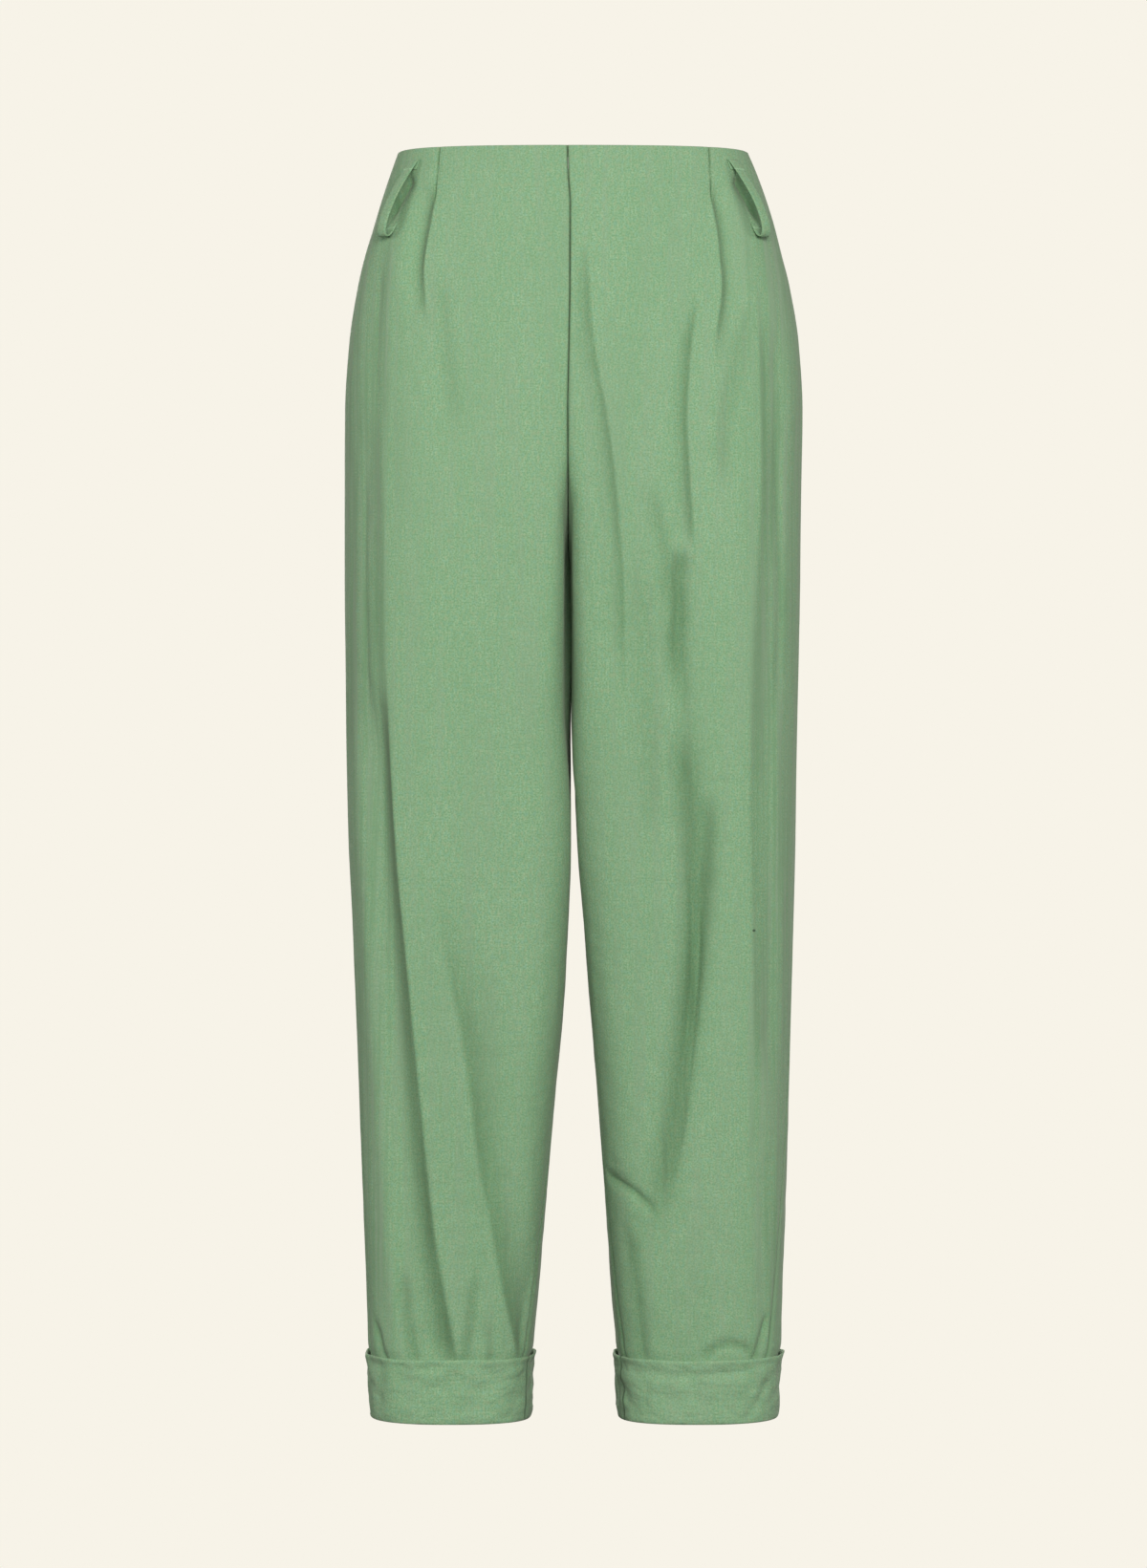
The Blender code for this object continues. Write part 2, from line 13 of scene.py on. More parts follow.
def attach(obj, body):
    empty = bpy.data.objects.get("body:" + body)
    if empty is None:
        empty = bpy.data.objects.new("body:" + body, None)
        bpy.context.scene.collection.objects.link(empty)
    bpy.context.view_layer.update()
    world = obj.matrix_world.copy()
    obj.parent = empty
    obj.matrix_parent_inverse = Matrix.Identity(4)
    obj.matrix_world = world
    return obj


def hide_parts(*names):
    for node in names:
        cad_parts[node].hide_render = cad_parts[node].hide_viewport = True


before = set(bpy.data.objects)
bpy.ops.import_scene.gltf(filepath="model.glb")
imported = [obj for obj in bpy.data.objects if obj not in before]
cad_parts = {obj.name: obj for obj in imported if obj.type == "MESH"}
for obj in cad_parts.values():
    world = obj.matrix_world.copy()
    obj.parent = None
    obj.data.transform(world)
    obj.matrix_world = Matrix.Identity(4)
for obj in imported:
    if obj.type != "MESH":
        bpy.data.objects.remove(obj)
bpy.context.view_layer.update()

# The studio: the trousers hang in the middle of a wide, pale, seamless bowl, lit softly from the front, and
# the camera stands level with the knees at the distance from which the photograph was taken.

CAMERA_AWAY = 4.0
CAMERA_HEIGHT = -0.4873
MILLIMETRES_A_PIXEL = 0.74
PICTURE_WIDTH, PICTURE_HEIGHT = 1200, 1641
CENTRE_COLUMN = 599.5  # the trousers' centre line in the picture
SENSOR = 36.0
PALE = (0.930, 0.896, 0.807)
WARM = (1.0, 0.985, 0.96)
BOWL_RADIUS = 9.0
BOWL_FLOOR = -2.6
BOWL_TURN = 3.0

view_high = PICTURE_HEIGHT * MILLIMETRES_A_PIXEL / 1000
camera = bpy.data.objects.new("camera", bpy.data.cameras.new("camera"))
camera.data.lens = SENSOR * CAMERA_AWAY / view_high
camera.data.sensor_width = SENSOR
camera_aside = (PICTURE_WIDTH / 2 - CENTRE_COLUMN) * MILLIMETRES_A_PIXEL / 1000
camera.location = (camera_aside, -CAMERA_AWAY, CAMERA_HEIGHT)
camera.rotation_euler = (math.pi / 2, 0, 0)
bpy.context.scene.collection.objects.link(camera)
bpy.context.scene.camera = camera

bowl_mesh = bpy.data.meshes.new("studio_bowl")
bowl_form = bmesh.new()
outline = [Vector((0, 0, BOWL_FLOOR)), Vector((BOWL_RADIUS - BOWL_TURN, 0, BOWL_FLOOR))]
for step in range(1, 13):
    angle = math.radians(7.5 * step)
    across = BOWL_RADIUS - BOWL_TURN + BOWL_TURN * math.sin(angle)
    outline.append(Vector((across, 0, BOWL_FLOOR + BOWL_TURN * (1 - math.cos(angle)))))
outline.append(Vector((BOWL_RADIUS, 0, 8)))
points = [bowl_form.verts.new(point) for point in outline]
edges = [bowl_form.edges.new(pair) for pair in zip(points, points[1:])]
bmesh.ops.spin(bowl_form, geom=points + edges, axis=(0, 0, 1), cent=(0, 0, 0), steps=96, angle=math.tau)
bmesh.ops.remove_doubles(bowl_form, verts=bowl_form.verts[:], dist=0.0001)
bowl_form.to_mesh(bowl_mesh)
bowl_form.free()
bowl_mesh.polygons.foreach_set("use_smooth", [True] * len(bowl_mesh.polygons))
bowl = bpy.data.objects.new("studio_bowl", bowl_mesh)
bpy.context.scene.collection.objects.link(bowl)
bowl_paint = bpy.data.materials.new("Studio bowl, evenly lit")
bowl_paint.use_nodes = True
bowl_paint.node_tree.nodes.clear()
glow = bowl_paint.node_tree.nodes.new("ShaderNodeEmission")
glow.inputs["Color"].default_value = (*PALE, 1)
bowl_end = bowl_paint.node_tree.nodes.new("ShaderNodeOutputMaterial")
bowl_paint.node_tree.links.new(glow.outputs[0], bowl_end.inputs["Surface"])
bowl_mesh.materials.append(bowl_paint)
bowl.visible_diffuse = False
bowl.visible_glossy = False
bowl.visible_shadow = False

world = bpy.data.worlds.new("Studio air")
world.use_nodes = True
world.node_tree.nodes["Background"].inputs["Color"].default_value = (*WARM, 1)
world.node_tree.nodes["Background"].inputs["Strength"].default_value = 0.07
bpy.context.scene.world = world
bpy.context.scene.view_settings.view_transform = "Standard"


def softbox(name, place, towards, size, watts):
    """A square lamp that faces a point."""
    lamp = bpy.data.lights.new(name, "AREA")
    lamp.shape = "SQUARE"
    lamp.size = size
    lamp.energy = watts
    lamp.color = WARM
    stand = bpy.data.objects.new(name, lamp)
    stand.location = place
    stand.rotation_euler = (Vector(towards) - Vector(place)).to_track_quat("-Z", "Y").to_euler()
    stand.visible_camera = False
    bpy.context.scene.collection.objects.link(stand)


softbox("key", (0.9, -4.6, 0.8), (0, 0, -0.45), 1.4, 139)
softbox("second", (-0.9, -4.6, 0.5), (0, 0, -0.45), 1.4, 70)
softbox("side_right", (-3.9, -0.55, 0.5), (0, 0, -0.3), 1.2, 40)
softbox("side_left", (3.9, -0.55, 0.5), (0, 0, -0.3), 1.2, 34)
softbox("back_key", (-0.9, 4.7, 0.6), (0, 0, -0.45), 1.9, 120)
softbox("back_fill", (1.5, 4.5, -0.8), (0, 0, -0.5), 1.9, 45)


# The body's form: each leg's outline at a height, from the centre front seam (or the inseam) round the side
# to the centre back seam. The panels, cuffs, belt loops and zip tapes are all laid on it.


class Curves:
    """Smooth curves through the named columns of a table, whose first column is the height."""

    def __init__(self, names, rows):
        self.names = names.split()
        rows = np.array(sorted(rows))
        self.z, self.values = rows[:, 0], rows[:, 1:]
        slope = np.diff(self.values, axis=0) / np.diff(self.z)[:, None]
        both = slope[1:] * slope[:-1]
        total = slope[1:] + slope[:-1]
        mean = np.where(both > 0, 2 * both / np.where(both > 0, total, 1), 0)
        self.slope = np.vstack([slope[:1], mean, slope[-1:]])

    def __call__(self, name, z):
        k = self.names.index(name)
        z = np.clip(z, self.z[0], self.z[-1])
        i = np.clip(np.searchsorted(self.z, z) - 1, 0, len(self.z) - 2)
        step = self.z[i + 1] - self.z[i]
        t = (z - self.z[i]) / step
        ends = self.values[i, k] * (1 + 2 * t) * (1 - t) ** 2 + self.values[i + 1, k] * t * t * (3 - 2 * t)
        return ends + step * t * (1 - t) * ((1 - t) * self.slope[i, k] - t * self.slope[i + 1, k])


# Half widths from the centre line: the sides, and the inner legs below the crotch
WIDTHS = Curves(
    "side_right side_left inner_right inner_left",
    (
        (0.000, 0.1355, 0.1355, 0.00015, 0.00015),
        (-0.014, 0.1405, 0.1415, 0.00015, 0.00015),
        (-0.036, 0.1478, 0.1495, 0.00015, 0.00015),
        (-0.058, 0.1543, 0.1562, 0.00015, 0.00015),
        (-0.080, 0.1610, 0.1617, 0.00015, 0.00015),
        (-0.102, 0.1661, 0.1672, 0.00015, 0.00015),
        (-0.146, 0.1728, 0.1742, 0.00015, 0.00015),
        (-0.200, 0.1762, 0.1772, 0.00015, 0.00015),
        (-0.250, 0.1765, 0.1764, 0.0006, 0.0006),
        (-0.330, 0.1765, 0.1753, 0.0009, 0.0009),
        (-0.400, 0.1758, 0.1740, 0.0009, 0.0009),
        (-0.425, 0.1756, 0.1735, 0.0013, 0.0009),
        (-0.472, 0.1750, 0.1728, 0.0022, 0.0014),
        (-0.531, 0.1735, 0.1720, 0.0018, 0.0034),
        (-0.590, 0.1706, 0.1706, 0.0041, 0.0085),
        (-0.650, 0.1684, 0.1691, 0.0070, 0.0129),
        (-0.709, 0.1661, 0.1676, 0.0122, 0.0174),
        (-0.768, 0.1639, 0.1661, 0.0174, 0.0218),
        (-0.827, 0.1617, 0.1639, 0.0226, 0.0263),
        (-0.886, 0.1595, 0.1617, 0.0277, 0.0307),
        (-0.916, 0.1585, 0.1609, 0.0307, 0.0336),
        (-0.946, 0.1564, 0.1583, 0.0330, 0.0348),
        (-0.976, 0.1552, 0.1572, 0.0338, 0.0362),
    ),
)

# The front and back: where they stand out furthest, how far, and how deep the turn to the inner leg is
DEPTHS = Curves(
    "crown front back roll",
    (
        (0.000, 0.002, 0.088, 0.092, 0.00002),
        (-0.050, 0.010, 0.099, 0.103, 0.00002),
        (-0.100, 0.022, 0.106, 0.114, 0.0003),
        (-0.150, 0.036, 0.111, 0.121, 0.0012),
        (-0.200, 0.052, 0.114, 0.123, 0.0045),
        (-0.260, 0.067, 0.115, 0.120, 0.0140),
        (-0.330, 0.079, 0.113, 0.112, 0.0250),
        (-0.400, 0.084, 0.109, 0.106, 0.0320),
        (-0.480, 0.087, 0.103, 0.100, 0.0400),
        (-0.560, 0.089, 0.097, 0.094, 0.0460),
        (-0.640, 0.091, 0.090, 0.088, 0.0520),
        (-0.720, 0.093, 0.083, 0.081, 0.0580),
        (-0.800, 0.095, 0.076, 0.074, 0.0620),
        (-0.880, 0.096, 0.068, 0.067, 0.0630),
        (-0.926, 0.096, 0.063, 0.063, 0.0620),
        (-0.976, 0.096, 0.061, 0.061, 0.0605),
    ),
)

# How far in front of the middle (-Y) the seams between front and back run
SEAMS = Curves(
    "side_right side_left inseam",
    (
        (0.000, 0.000, 0.000, 0.000),
        (-0.330, -0.004, -0.004, 0.000),
        (-0.487, -0.010, -0.010, 0.000),
        (-0.560, -0.016, -0.016, -0.006),
        (-0.640, -0.021, -0.021, -0.024),
        (-0.720, -0.022, -0.026, -0.030),
        (-0.976, -0.020, -0.043, -0.034),
    ),
)

OUTSEAM = 0.976
WAIST_DIP = 0.0033  # how much lower the waist edge is at the centre front than at the sides
CROTCH = -0.330
CROTCH_TOP = -0.200  # height where the curved seat seam leaves the outer surface
CROTCH_DRAW = 0.025
INNER_POWER, OUTER_POWER = 2.6, 2.3
ROUND_STEPS = 110
SEAM_GAP = 0.0004  # between the two turned-in edges of a seam
SEAM_DIP = 0.0009  # how deep the cloth is drawn in along a seam, and how wide
SEAM_DRAW = 0.0024
SEAM_MEET = 0.0002  # how far each turned-in edge of the centre front seam leans to the other
GRAIN = 0.090  # the straight grain of each panel runs this far from the centre line
EDGE_TURN = 0.006
BOW = 0.0024  # how far the inner legs bend sideways together, so that they close the gap between them
BOW_TOP, BOW_END = -0.215, -0.424
VALLEY = 0.0036  # half the width of the valley between the thighs, in front of and behind where they touch
VALLEY_TOP, VALLEY_END, VALLEY_FADE = -0.202, -0.480, 0.060
VALLEY_OUT = 0.042  # how far to the front and back of the middle the valley begins

# The centre front seam's own line, as the height and the distance to the wearer's left
CENTRE_LINE = ((-0.500, 0.0), (-0.440, -0.0034), (-0.330, -0.0036), (-0.200, -0.0040), (-0.120, -0.0024),
               (-0.045, -0.0021), (-0.025, -0.0036), (0.0, -0.0042))


def smooth(t):
    t = np.clip(t, 0, 1)
    return t * t * (3 - 2 * t)


class Outline:
    """One leg's cross-section at a height; places on it are arc lengths."""

    def __init__(self, leg, z):
        self.sign = 1 if leg == "left" else -1
        self.z = z
        side, inner = WIDTHS("side_" + leg, z), WIDTHS("inner_" + leg, z)
        front, back, roll = (DEPTHS(name, z) for name in ("front", "back", "roll"))
        self.front = front
        crown = max(DEPTHS("crown", z), inner + 0.001)
        turn = np.linspace(0, math.pi / 2, ROUND_STEPS)
        cos_in, sin_in = np.cos(turn) ** (2 / INNER_POWER), np.sin(turn) ** (2 / INNER_POWER)
        cos_out, sin_out = np.cos(turn) ** (2 / OUTER_POWER), np.sin(turn) ** (2 / OUTER_POWER)
        wall = np.linspace(back - roll, roll - front, ROUND_STEPS)[1:-1]
        x = [crown - (crown - inner) * cos_in[::-1], np.full(len(wall), inner)]
        y = [back - roll + roll * sin_in[::-1], wall]
        x += [crown - (crown - inner) * cos_in, crown + (side - crown) * cos_out[::-1][1:]]
        y += [roll - front - roll * sin_in, -front * sin_out[::-1][1:]]
        x += [crown + (side - crown) * cos_out[1:]]
        y += [back * sin_out[1:]]
        at_turn = sum(len(part) for part in x[:2])
        at_front = at_turn + ROUND_STEPS - 1
        at_side = at_front + ROUND_STEPS - 1
        x, y = np.concatenate(x), np.concatenate(y)
        x += self.drawn_together(x, y, inner, front - roll, back - roll) + self.bowed(x, y, inner)

        s = np.append(0, np.cumsum(np.hypot(np.diff(x), np.diff(y))))
        ends = -np.array(self.seat_seams(front - roll, back - roll))
        self.start, last = np.interp(ends, -y[: at_front + 1], s[: at_front + 1])
        self.side = np.interp(SEAMS("side_" + leg, z), y[at_front:], s[at_front:])
        self.end = s[-1] + last
        self.front_line = x[at_turn : at_side + 1], s[at_turn : at_side + 1]
        behind_x = np.concatenate([x[at_side:], x[1:ROUND_STEPS]])
        behind_s = np.concatenate([s[at_side:], s[-1] + s[1:ROUND_STEPS]])
        self.back_line = behind_x[::-1], behind_s[::-1]
        s_twice = np.concatenate([s, s[-1] + s[1 : at_front + 1]])
        within = s_twice[(s_twice > self.start + 1e-5) & (s_twice < self.end - 1e-5)]
        self.s = np.concatenate([[self.start], within, [self.end]])
        self.x, self.y = (np.interp(self.s, s_twice, np.append(v, v[1 : at_front + 1])) for v in (x, y))
        dx, dy = np.gradient(self.x, self.s), np.gradient(self.y, self.s)
        size = np.hypot(dx, dy)
        self.normal_x, self.normal_y = self.turned_edges(dy / size, -dx / size)
        self.bend = np.clip(np.abs(np.gradient(np.unwrap(np.arctan2(dy, dx)), self.s)), 0, 70)

    def seat_seams(self, front, back):
        """How far back (+Y) the two ends of the outline lie: on the seat seam, or on the inseam."""
        if self.z <= CROTCH:
            inseam = SEAMS("inseam", self.z)
            return inseam - SEAM_GAP / 2, inseam + SEAM_GAP / 2
        rise = min((self.z - CROTCH) / (CROTCH_TOP - CROTCH), 1)
        reach = math.sqrt(1 - (1 - rise) ** 2)
        return -SEAM_GAP / 2 - (front - SEAM_GAP / 2) * reach, SEAM_GAP / 2 + (back - SEAM_GAP / 2) * reach

    def turned_edges(self, normal_x, normal_y):
        """The cloth's outward direction, which at the centre seams is straight to the front or back."""
        above = smooth((self.z - CROTCH + 0.012) / 0.010)
        for place, way in ((self.start, -1.0), (self.end, 1.0)):
            near = above * np.exp(-(((self.s - place) / EDGE_TURN) ** 2))
            normal_x = normal_x * (1 - near)
            normal_y = normal_y * (1 - near) + way * near
        size = np.hypot(normal_x, normal_y)
        return normal_x / size, normal_y / size

    def drawn_together(self, x, y, inner, front, back):
        """How far the inner leg is moved sideways, to the crotch seam."""
        ahead, behind = self.seat_seams(front, back)
        if self.z > CROTCH:
            away = np.where(y < 0, np.abs(y - ahead), np.abs(y - behind))
        else:
            away = np.hypot(y, self.z - CROTCH)
        near = np.exp(-(((x - inner) / 0.008) ** 2))
        drawn = (SEAM_GAP / 2 + 0.00004 - inner) * (1 - smooth(away / CROTCH_DRAW)) * near
        open_here = smooth((VALLEY_TOP - self.z) / VALLEY_FADE) * smooth((self.z - VALLEY_END) / VALLEY_FADE)
        outside = smooth((np.abs(y) - VALLEY_OUT) / 0.020) * smooth((away - 0.004) / 0.020)
        return drawn + max(VALLEY - inner, 0) * open_here * outside * near

    def bowed(self, x, y, inner):
        """The two legs' shift sideways, the same on both, so that they stay side by side: the inner legs bend
        where they touch, and the centre front seam follows its own line."""
        height = smooth((BOW_TOP - self.z) / 0.050) * smooth((self.z - BOW_END) / 0.040)
        depth = np.exp(-(((np.abs(y) - 0.030) / 0.012) ** 2))
        bend = BOW * height * depth * np.exp(-(((x - inner) / 0.016) ** 2))
        line = np.array(CENTRE_LINE)
        shift = np.interp(self.z, line[:, 0], line[:, 1]) * smooth((-y - 0.035) / 0.020)
        return self.sign * (bend + shift * np.exp(-(((x - inner) / 0.034) ** 2)))

    def across(self, panel, x):
        """The place on a panel that is x from the centre line."""
        line, s = self.front_line if panel == "front" else self.back_line
        return np.interp(x, line, s)

    def points(self, s, out=0.0):
        """Points at places s, moved out of the cloth's outer surface."""
        x, y = np.interp(s, self.s, self.x), np.interp(s, self.s, self.y)
        normal_x, normal_y = np.interp(s, self.s, self.normal_x), np.interp(s, self.s, self.normal_y)
        x, y = x + normal_x * out, y + normal_y * out
        dip = WAIST_DIP * np.clip(-y / self.front, 0, 1) ** 2 * math.exp(min(self.z, 0) / 0.03)
        return np.stack([self.sign * x, y, self.z - dip], axis=-1)


# Creases in the cloth, in tenths of a millimetre. A pleat has a crisp
# corner along its points, drops from it towards the side or the centre, steeply at first, and then comes up
# again. A crease of the kind "both" is a trough that is soft on both sides. The columns are the kind, depth,
# width of the steep part, reach, rise of the corner in hundredths of the depth, how far the upper and the
# lower end fade out, and points as the distance from the centre line and from the waist edge down.
TENTHS = 10000  # of a millimetre, in a metre
FULL_PAINTED_SHADE_DEPTH = 0.0052  # depth of a fold at which the shade painted into its colour is full
CREASES = {
    ("right", "front"): (
        # Below the dart
        ("side", 46, 85, 160, 6, 260, 600, (
            (1030, 240), (1036, 375), (1082, 650), (1122, 900), (1124, 1070), (1109, 1290), (1095, 1500))),
        ("both", 12, 70, 100, 0, 400, 600, ((1020, 900), (966, 1500), (900, 1950), (860, 2400))),
        # Hollow behind the belt loop, with shade painted into it where the strap's shadow falls
        ("both", 52, 62, 100, 0, 100, 120, (
            (1225, 200), (1283, 310), (1342, 420), (1400, 530), (1425, 590))),
        # Along the side
        ("both", 16, 75, 100, 0, 500, 600, ((1440, 650), (1480, 1200), (1500, 1700), (1490, 2450))),
        ("side", 16, 180, 200, 4, 500, 400, (
            (1450, 1900), (1445, 2320), (1435, 3000), (1430, 3600), (1410, 4200))),
        ("both", 16, 50, 100, 0, 600, 600, ((1590, 2300), (1600, 3000), (1590, 3800), (1560, 4600))),
        # The long folds down the leg
        ("side", 84, 175, 300, 5, 900, 300, (
            (1420, 3840), (1402, 4200), (1379, 4780), (1325, 5550), (1249, 6320), (1175, 7100),
            (1099, 7890), (1023, 8480), (888, 9220), (840, 9400))),
        ("centre", 38, 190, 260, 8, 1400, 300, (
            (1055, 5450), (1010, 5900), (940, 6320), (843, 6790), (729, 7690), (632, 8200), (537, 8750),
            (439, 9220), (410, 9400))),
        # Small folds above the cuff
        ("both", 26, 50, 100, 0, 300, 100, ((1330, 8500), (1280, 8930), (1200, 9350))),
        ("both", 30, 40, 100, 0, 160, 100, ((1530, 8950), (1490, 9120), (1430, 9350))),
        ("both", 22, 42, 100, 0, 300, 100, ((730, 8500), (780, 8900), (840, 9350))),
        ("both", 18, 36, 100, 0, 200, 100, ((640, 8950), (620, 9350))),
        ("both", 8, 14, 30, 0, 60, 60, ((640, 8120), (790, 8180))),
    ),
    ("left", "front"): (
        # Below the dart
        ("side", 44, 85, 160, 6, 260, 700, (
            (1036, 240), (1041, 375), (1090, 650), (1115, 900), (1128, 1120), (1102, 1350), (1073, 1540),
            (1066, 1820))),
        ("centre", 34, 70, 220, 10, 500, 300, (
            (990, 1050), (920, 1400), (890, 1630), (862, 2040), (877, 2460), (905, 2880), (920, 3160))),
        ("both", 34, 75, 100, 0, 200, 500, (
            (850, 3060), (784, 3320), (795, 3570), (766, 3850), (790, 4300))),
        ("both", 14, 90, 100, 0, 400, 400, ((1347, 1150), (1225, 1830), (1166, 2080), (1120, 2750))),
        ("both", 18, 60, 100, 0, 240, 300, ((560, 2620), (640, 2900), (700, 3250), (660, 3650))),
        # Hollow behind the belt loop, with shade painted into it where the strap's shadow falls
        ("both", 52, 62, 100, 0, 100, 120, (
            (1235, 200), (1296, 310), (1357, 420), (1415, 530), (1440, 590))),
        # Along the side
        ("side", 18, 180, 200, 4, 600, 600, (
            (1400, 1150), (1418, 1630), (1432, 2180), (1420, 2740), (1389, 3290), (1358, 3900),
            (1342, 4500), (1341, 5160), (1365, 6320), (1386, 7300))),
        ("both", 16, 50, 100, 0, 600, 600, ((1560, 2000), (1580, 2900), (1570, 3700), (1540, 4500))),
        # Beside the centre front
        ("centre", 28, 80, 140, 8, 400, 700, (
            (115, 740), (128, 1070), (141, 1350), (184, 1680), (253, 2070), (307, 2460), (350, 2880),
            (379, 3290), (393, 3850), (400, 4300))),
        # The long folds down the leg
        ("both", 40, 110, 200, 0, 500, 800, (
            (815, 4300), (835, 4650), (870, 5000), (905, 5350), (920, 5700), (900, 6200), (850, 6700),
            (790, 7200), (720, 7700), (650, 8150), (560, 8500))),
        ("both", 30, 70, 100, 0, 300, 500, (
            (990, 4900), (1030, 5150), (1020, 5450), (975, 5900), (920, 6400), (860, 7000))),
        ("both", 20, 30, 100, 0, 600, 600, (
            (845, 5200), (890, 5700), (900, 6200), (880, 6600), (830, 7100), (770, 7500))),
        ("both", 22, 28, 100, 0, 600, 600, (
            (930, 5600), (960, 6100), (930, 6600), (880, 7100), (800, 7650), (700, 8100))),
        ("both", 14, 100, 100, 0, 600, 600, (
            (480, 3000), (530, 3700), (560, 4400), (580, 5000), (560, 5500))),
        ("both", 22, 70, 100, 0, 600, 600, ((800, 3000), (790, 3600), (830, 4200), (880, 4700))),
        ("both", 34, 35, 60, 0, 100, 120, (
            (250, 7850), (360, 7920), (470, 7990), (560, 8070), (650, 8160))),
        ("both", 22, 80, 100, 0, 300, 200, ((390, 8150), (440, 8500), (500, 9000), (520, 9400))),
        # Small folds above the cuff
        ("both", 30, 34, 60, 0, 100, 100, (
            (960, 9270), (1060, 9190), (1180, 9150), (1300, 9170), (1400, 9250))),
        ("both", 6, 20, 40, 0, 120, 120, ((980, 4830), (1320, 4860))),
        ("both", 26, 36, 60, 0, 120, 100, ((1500, 8900), (1440, 9120), (1370, 9350))),
    ),
    ("right", "back"): (
        # Below the dart, under the seat, behind the knee and down the calf
        ("side", 22, 80, 160, 6, 300, 700, ((600, 620), (640, 1100), (660, 1700))),
        ("centre", 32, 220, 260, 4, 1400, 1400, (
            (460, 3250), (700, 4000), (880, 4800), (1000, 5800), (1060, 6900))),
        ("both", 24, 130, 240, 0, 1100, 1100, ((1340, 2200), (1240, 3800), (1280, 4800), (1330, 5700))),
        ("side", 34, 160, 200, 5, 1300, 300, (
            (1260, 6300), (1120, 7200), (990, 8000), (900, 9000), (880, 9400))),
        ("both", 14, 90, 100, 0, 400, 400, ((1000, 3220), (620, 3180), (300, 3350))),
        ("both", 20, 50, 100, 0, 200, 100, ((600, 9050), (560, 9350))),
    ),
    ("left", "back"): (
        # Below the dart, under the seat, behind the knee and down the calf
        ("side", 20, 80, 160, 6, 300, 700, ((610, 620), (650, 1120), (680, 1650))),
        ("centre", 26, 240, 260, 4, 1600, 1200, (
            (450, 3400), (660, 4100), (870, 5000), (940, 6000), (980, 6700))),
        ("both", 22, 120, 240, 0, 900, 1100, ((1330, 2500), (1250, 4000), (1300, 5300))),
        ("centre", 32, 150, 200, 5, 1200, 300, ((1340, 6700), (1210, 7600), (1060, 8600), (1040, 9400))),
        ("both", 12, 90, 100, 0, 400, 400, ((1040, 3300), (660, 3240), (320, 3450))),
        ("both", 20, 50, 100, 0, 200, 100, ((1200, 8900), (1240, 9350))),
    ),
}


class Cut:
    """One panel's flat cut: places on it are the distance from its straight grain, and the height."""

    def __init__(self, leg, panel):
        self.leg, self.panel = leg, panel
        self.creases = []
        for kind, depth, width, reach, rise, upper, lower, points in CREASES[leg, panel]:
            line = rounded(np.array([self.flat(x / TENTHS, -down / TENTHS) for x, down in points]))
            sizes = [size / TENTHS for size in (depth, width, reach, upper, lower)]
            way = 0 if kind == "both" else 1 if (kind == "side") == (panel == "front") else -1
            self.creases.append((way, *sizes, rise / 100, line))

    def flat(self, x, z):
        """The place on the cut that lies x from the centre line, at a height."""
        outline = Outline(self.leg, z)
        return outline.across(self.panel, x) - outline.across(self.panel, GRAIN), z

    def height(self, across, z):
        """How far the creases lift the cloth at places on it."""
        lift = np.zeros_like(across)
        for way, depth, width, reach, upper, lower, rise, line in self.creases:
            near, aside, ends = near_crease(line, across, z, width + max(2.0 * width, reach), upper, lower)
            if way == 0:
                shape = -np.exp(-np.abs(aside / width) ** 1.7)
            else:
                down = aside * way
                drop = (1 - (1 - np.clip(down / width, 0, 1)) ** 2) * (1 - smooth((down - width) / reach))
                shape = rise * np.exp(-((down / (0.5 * width)) ** 2)) - drop
            lift[near] += depth * ends * shape
        return lift

    def tone(self, across, z):
        """How much shade is painted into the cloth's colour at places on it: along the troughs of the folds
        and on the walls of the pleats.
        """
        light = np.ones_like(across)
        for way, depth, width, _, upper, lower, _, line in self.creases:
            near, aside, ends = near_crease(line, across, z, 3 * width, upper, lower)
            if way == 0:
                dark = np.exp(-np.abs(aside / width) ** 2)
            else:
                down = aside * way
                dark = np.exp(-((np.maximum(down, 0) / (0.9 * width)) ** 2))
                dark = smooth(down / (0.35 * width) + 0.5) * dark
            light[near] *= 1 - min(depth / FULL_PAINTED_SHADE_DEPTH, 1) * ends * dark
        return 1 - light

    def steep_places(self, z):
        """Where the creases that run down the panel cross a height, with their width and weight."""
        for _, depth, width, _, upper, lower, _, line in self.creases:
            if line[:, 1].max() - line[:, 1].min() < 0.03:
                continue
            order = np.argsort(line[:, 1])
            heights = line[order, 1]
            ends = float(smooth((z - heights[0]) / lower + 0.5) * smooth((heights[-1] - z) / upper + 0.5))
            yield np.interp(z, heights, line[order, 0]), width, ends * min(depth / 0.004, 1)


def rounded(line, steps=8):
    """A smooth curve through a crease's points."""
    padded = np.vstack([2 * line[0] - line[1], line, 2 * line[-1] - line[-2]])
    curve = []
    for k in range(1, len(padded) - 2):
        a, b, c, d = padded[k - 1 : k + 3]
        for t in np.linspace(0, 1, steps, endpoint=False):
            curve.append(0.5 * (2 * b + (c - a) * t + (2 * a - 5 * b + 4 * c - d) * t * t
                                + (3 * b - 3 * c + d - a) * t ** 3))
    curve.append(line[-1])
    return np.array(curve)


def path_length(line):
    return float(np.hypot(*np.diff(line, axis=0).T).sum())


def beside(line, across, z):
    """For each place: how far along a crease its nearest point is, and how far to the side it lies."""
    best = np.full(across.shape, 1e9)
    along, aside = np.zeros_like(across), np.full(across.shape, 1e9)
    run = 0.0
    for a, b in zip(line, line[1:]):
        step = b - a
        length = float(np.hypot(*step))
        u, v = across - a[0], z - a[1]
        t = np.clip((u * step[0] + v * step[1]) / length ** 2, 0, 1)
        away = np.hypot(u - t * step[0], v - t * step[1])
        which = np.where(u * step[1] - v * step[0] < 0, 1.0, -1.0)
        closer = away < best
        best = np.where(closer, away, best)
        along = np.where(closer, run + t * length, along)
        aside = np.where(closer, away * which, aside)
        run += length
    return along, aside


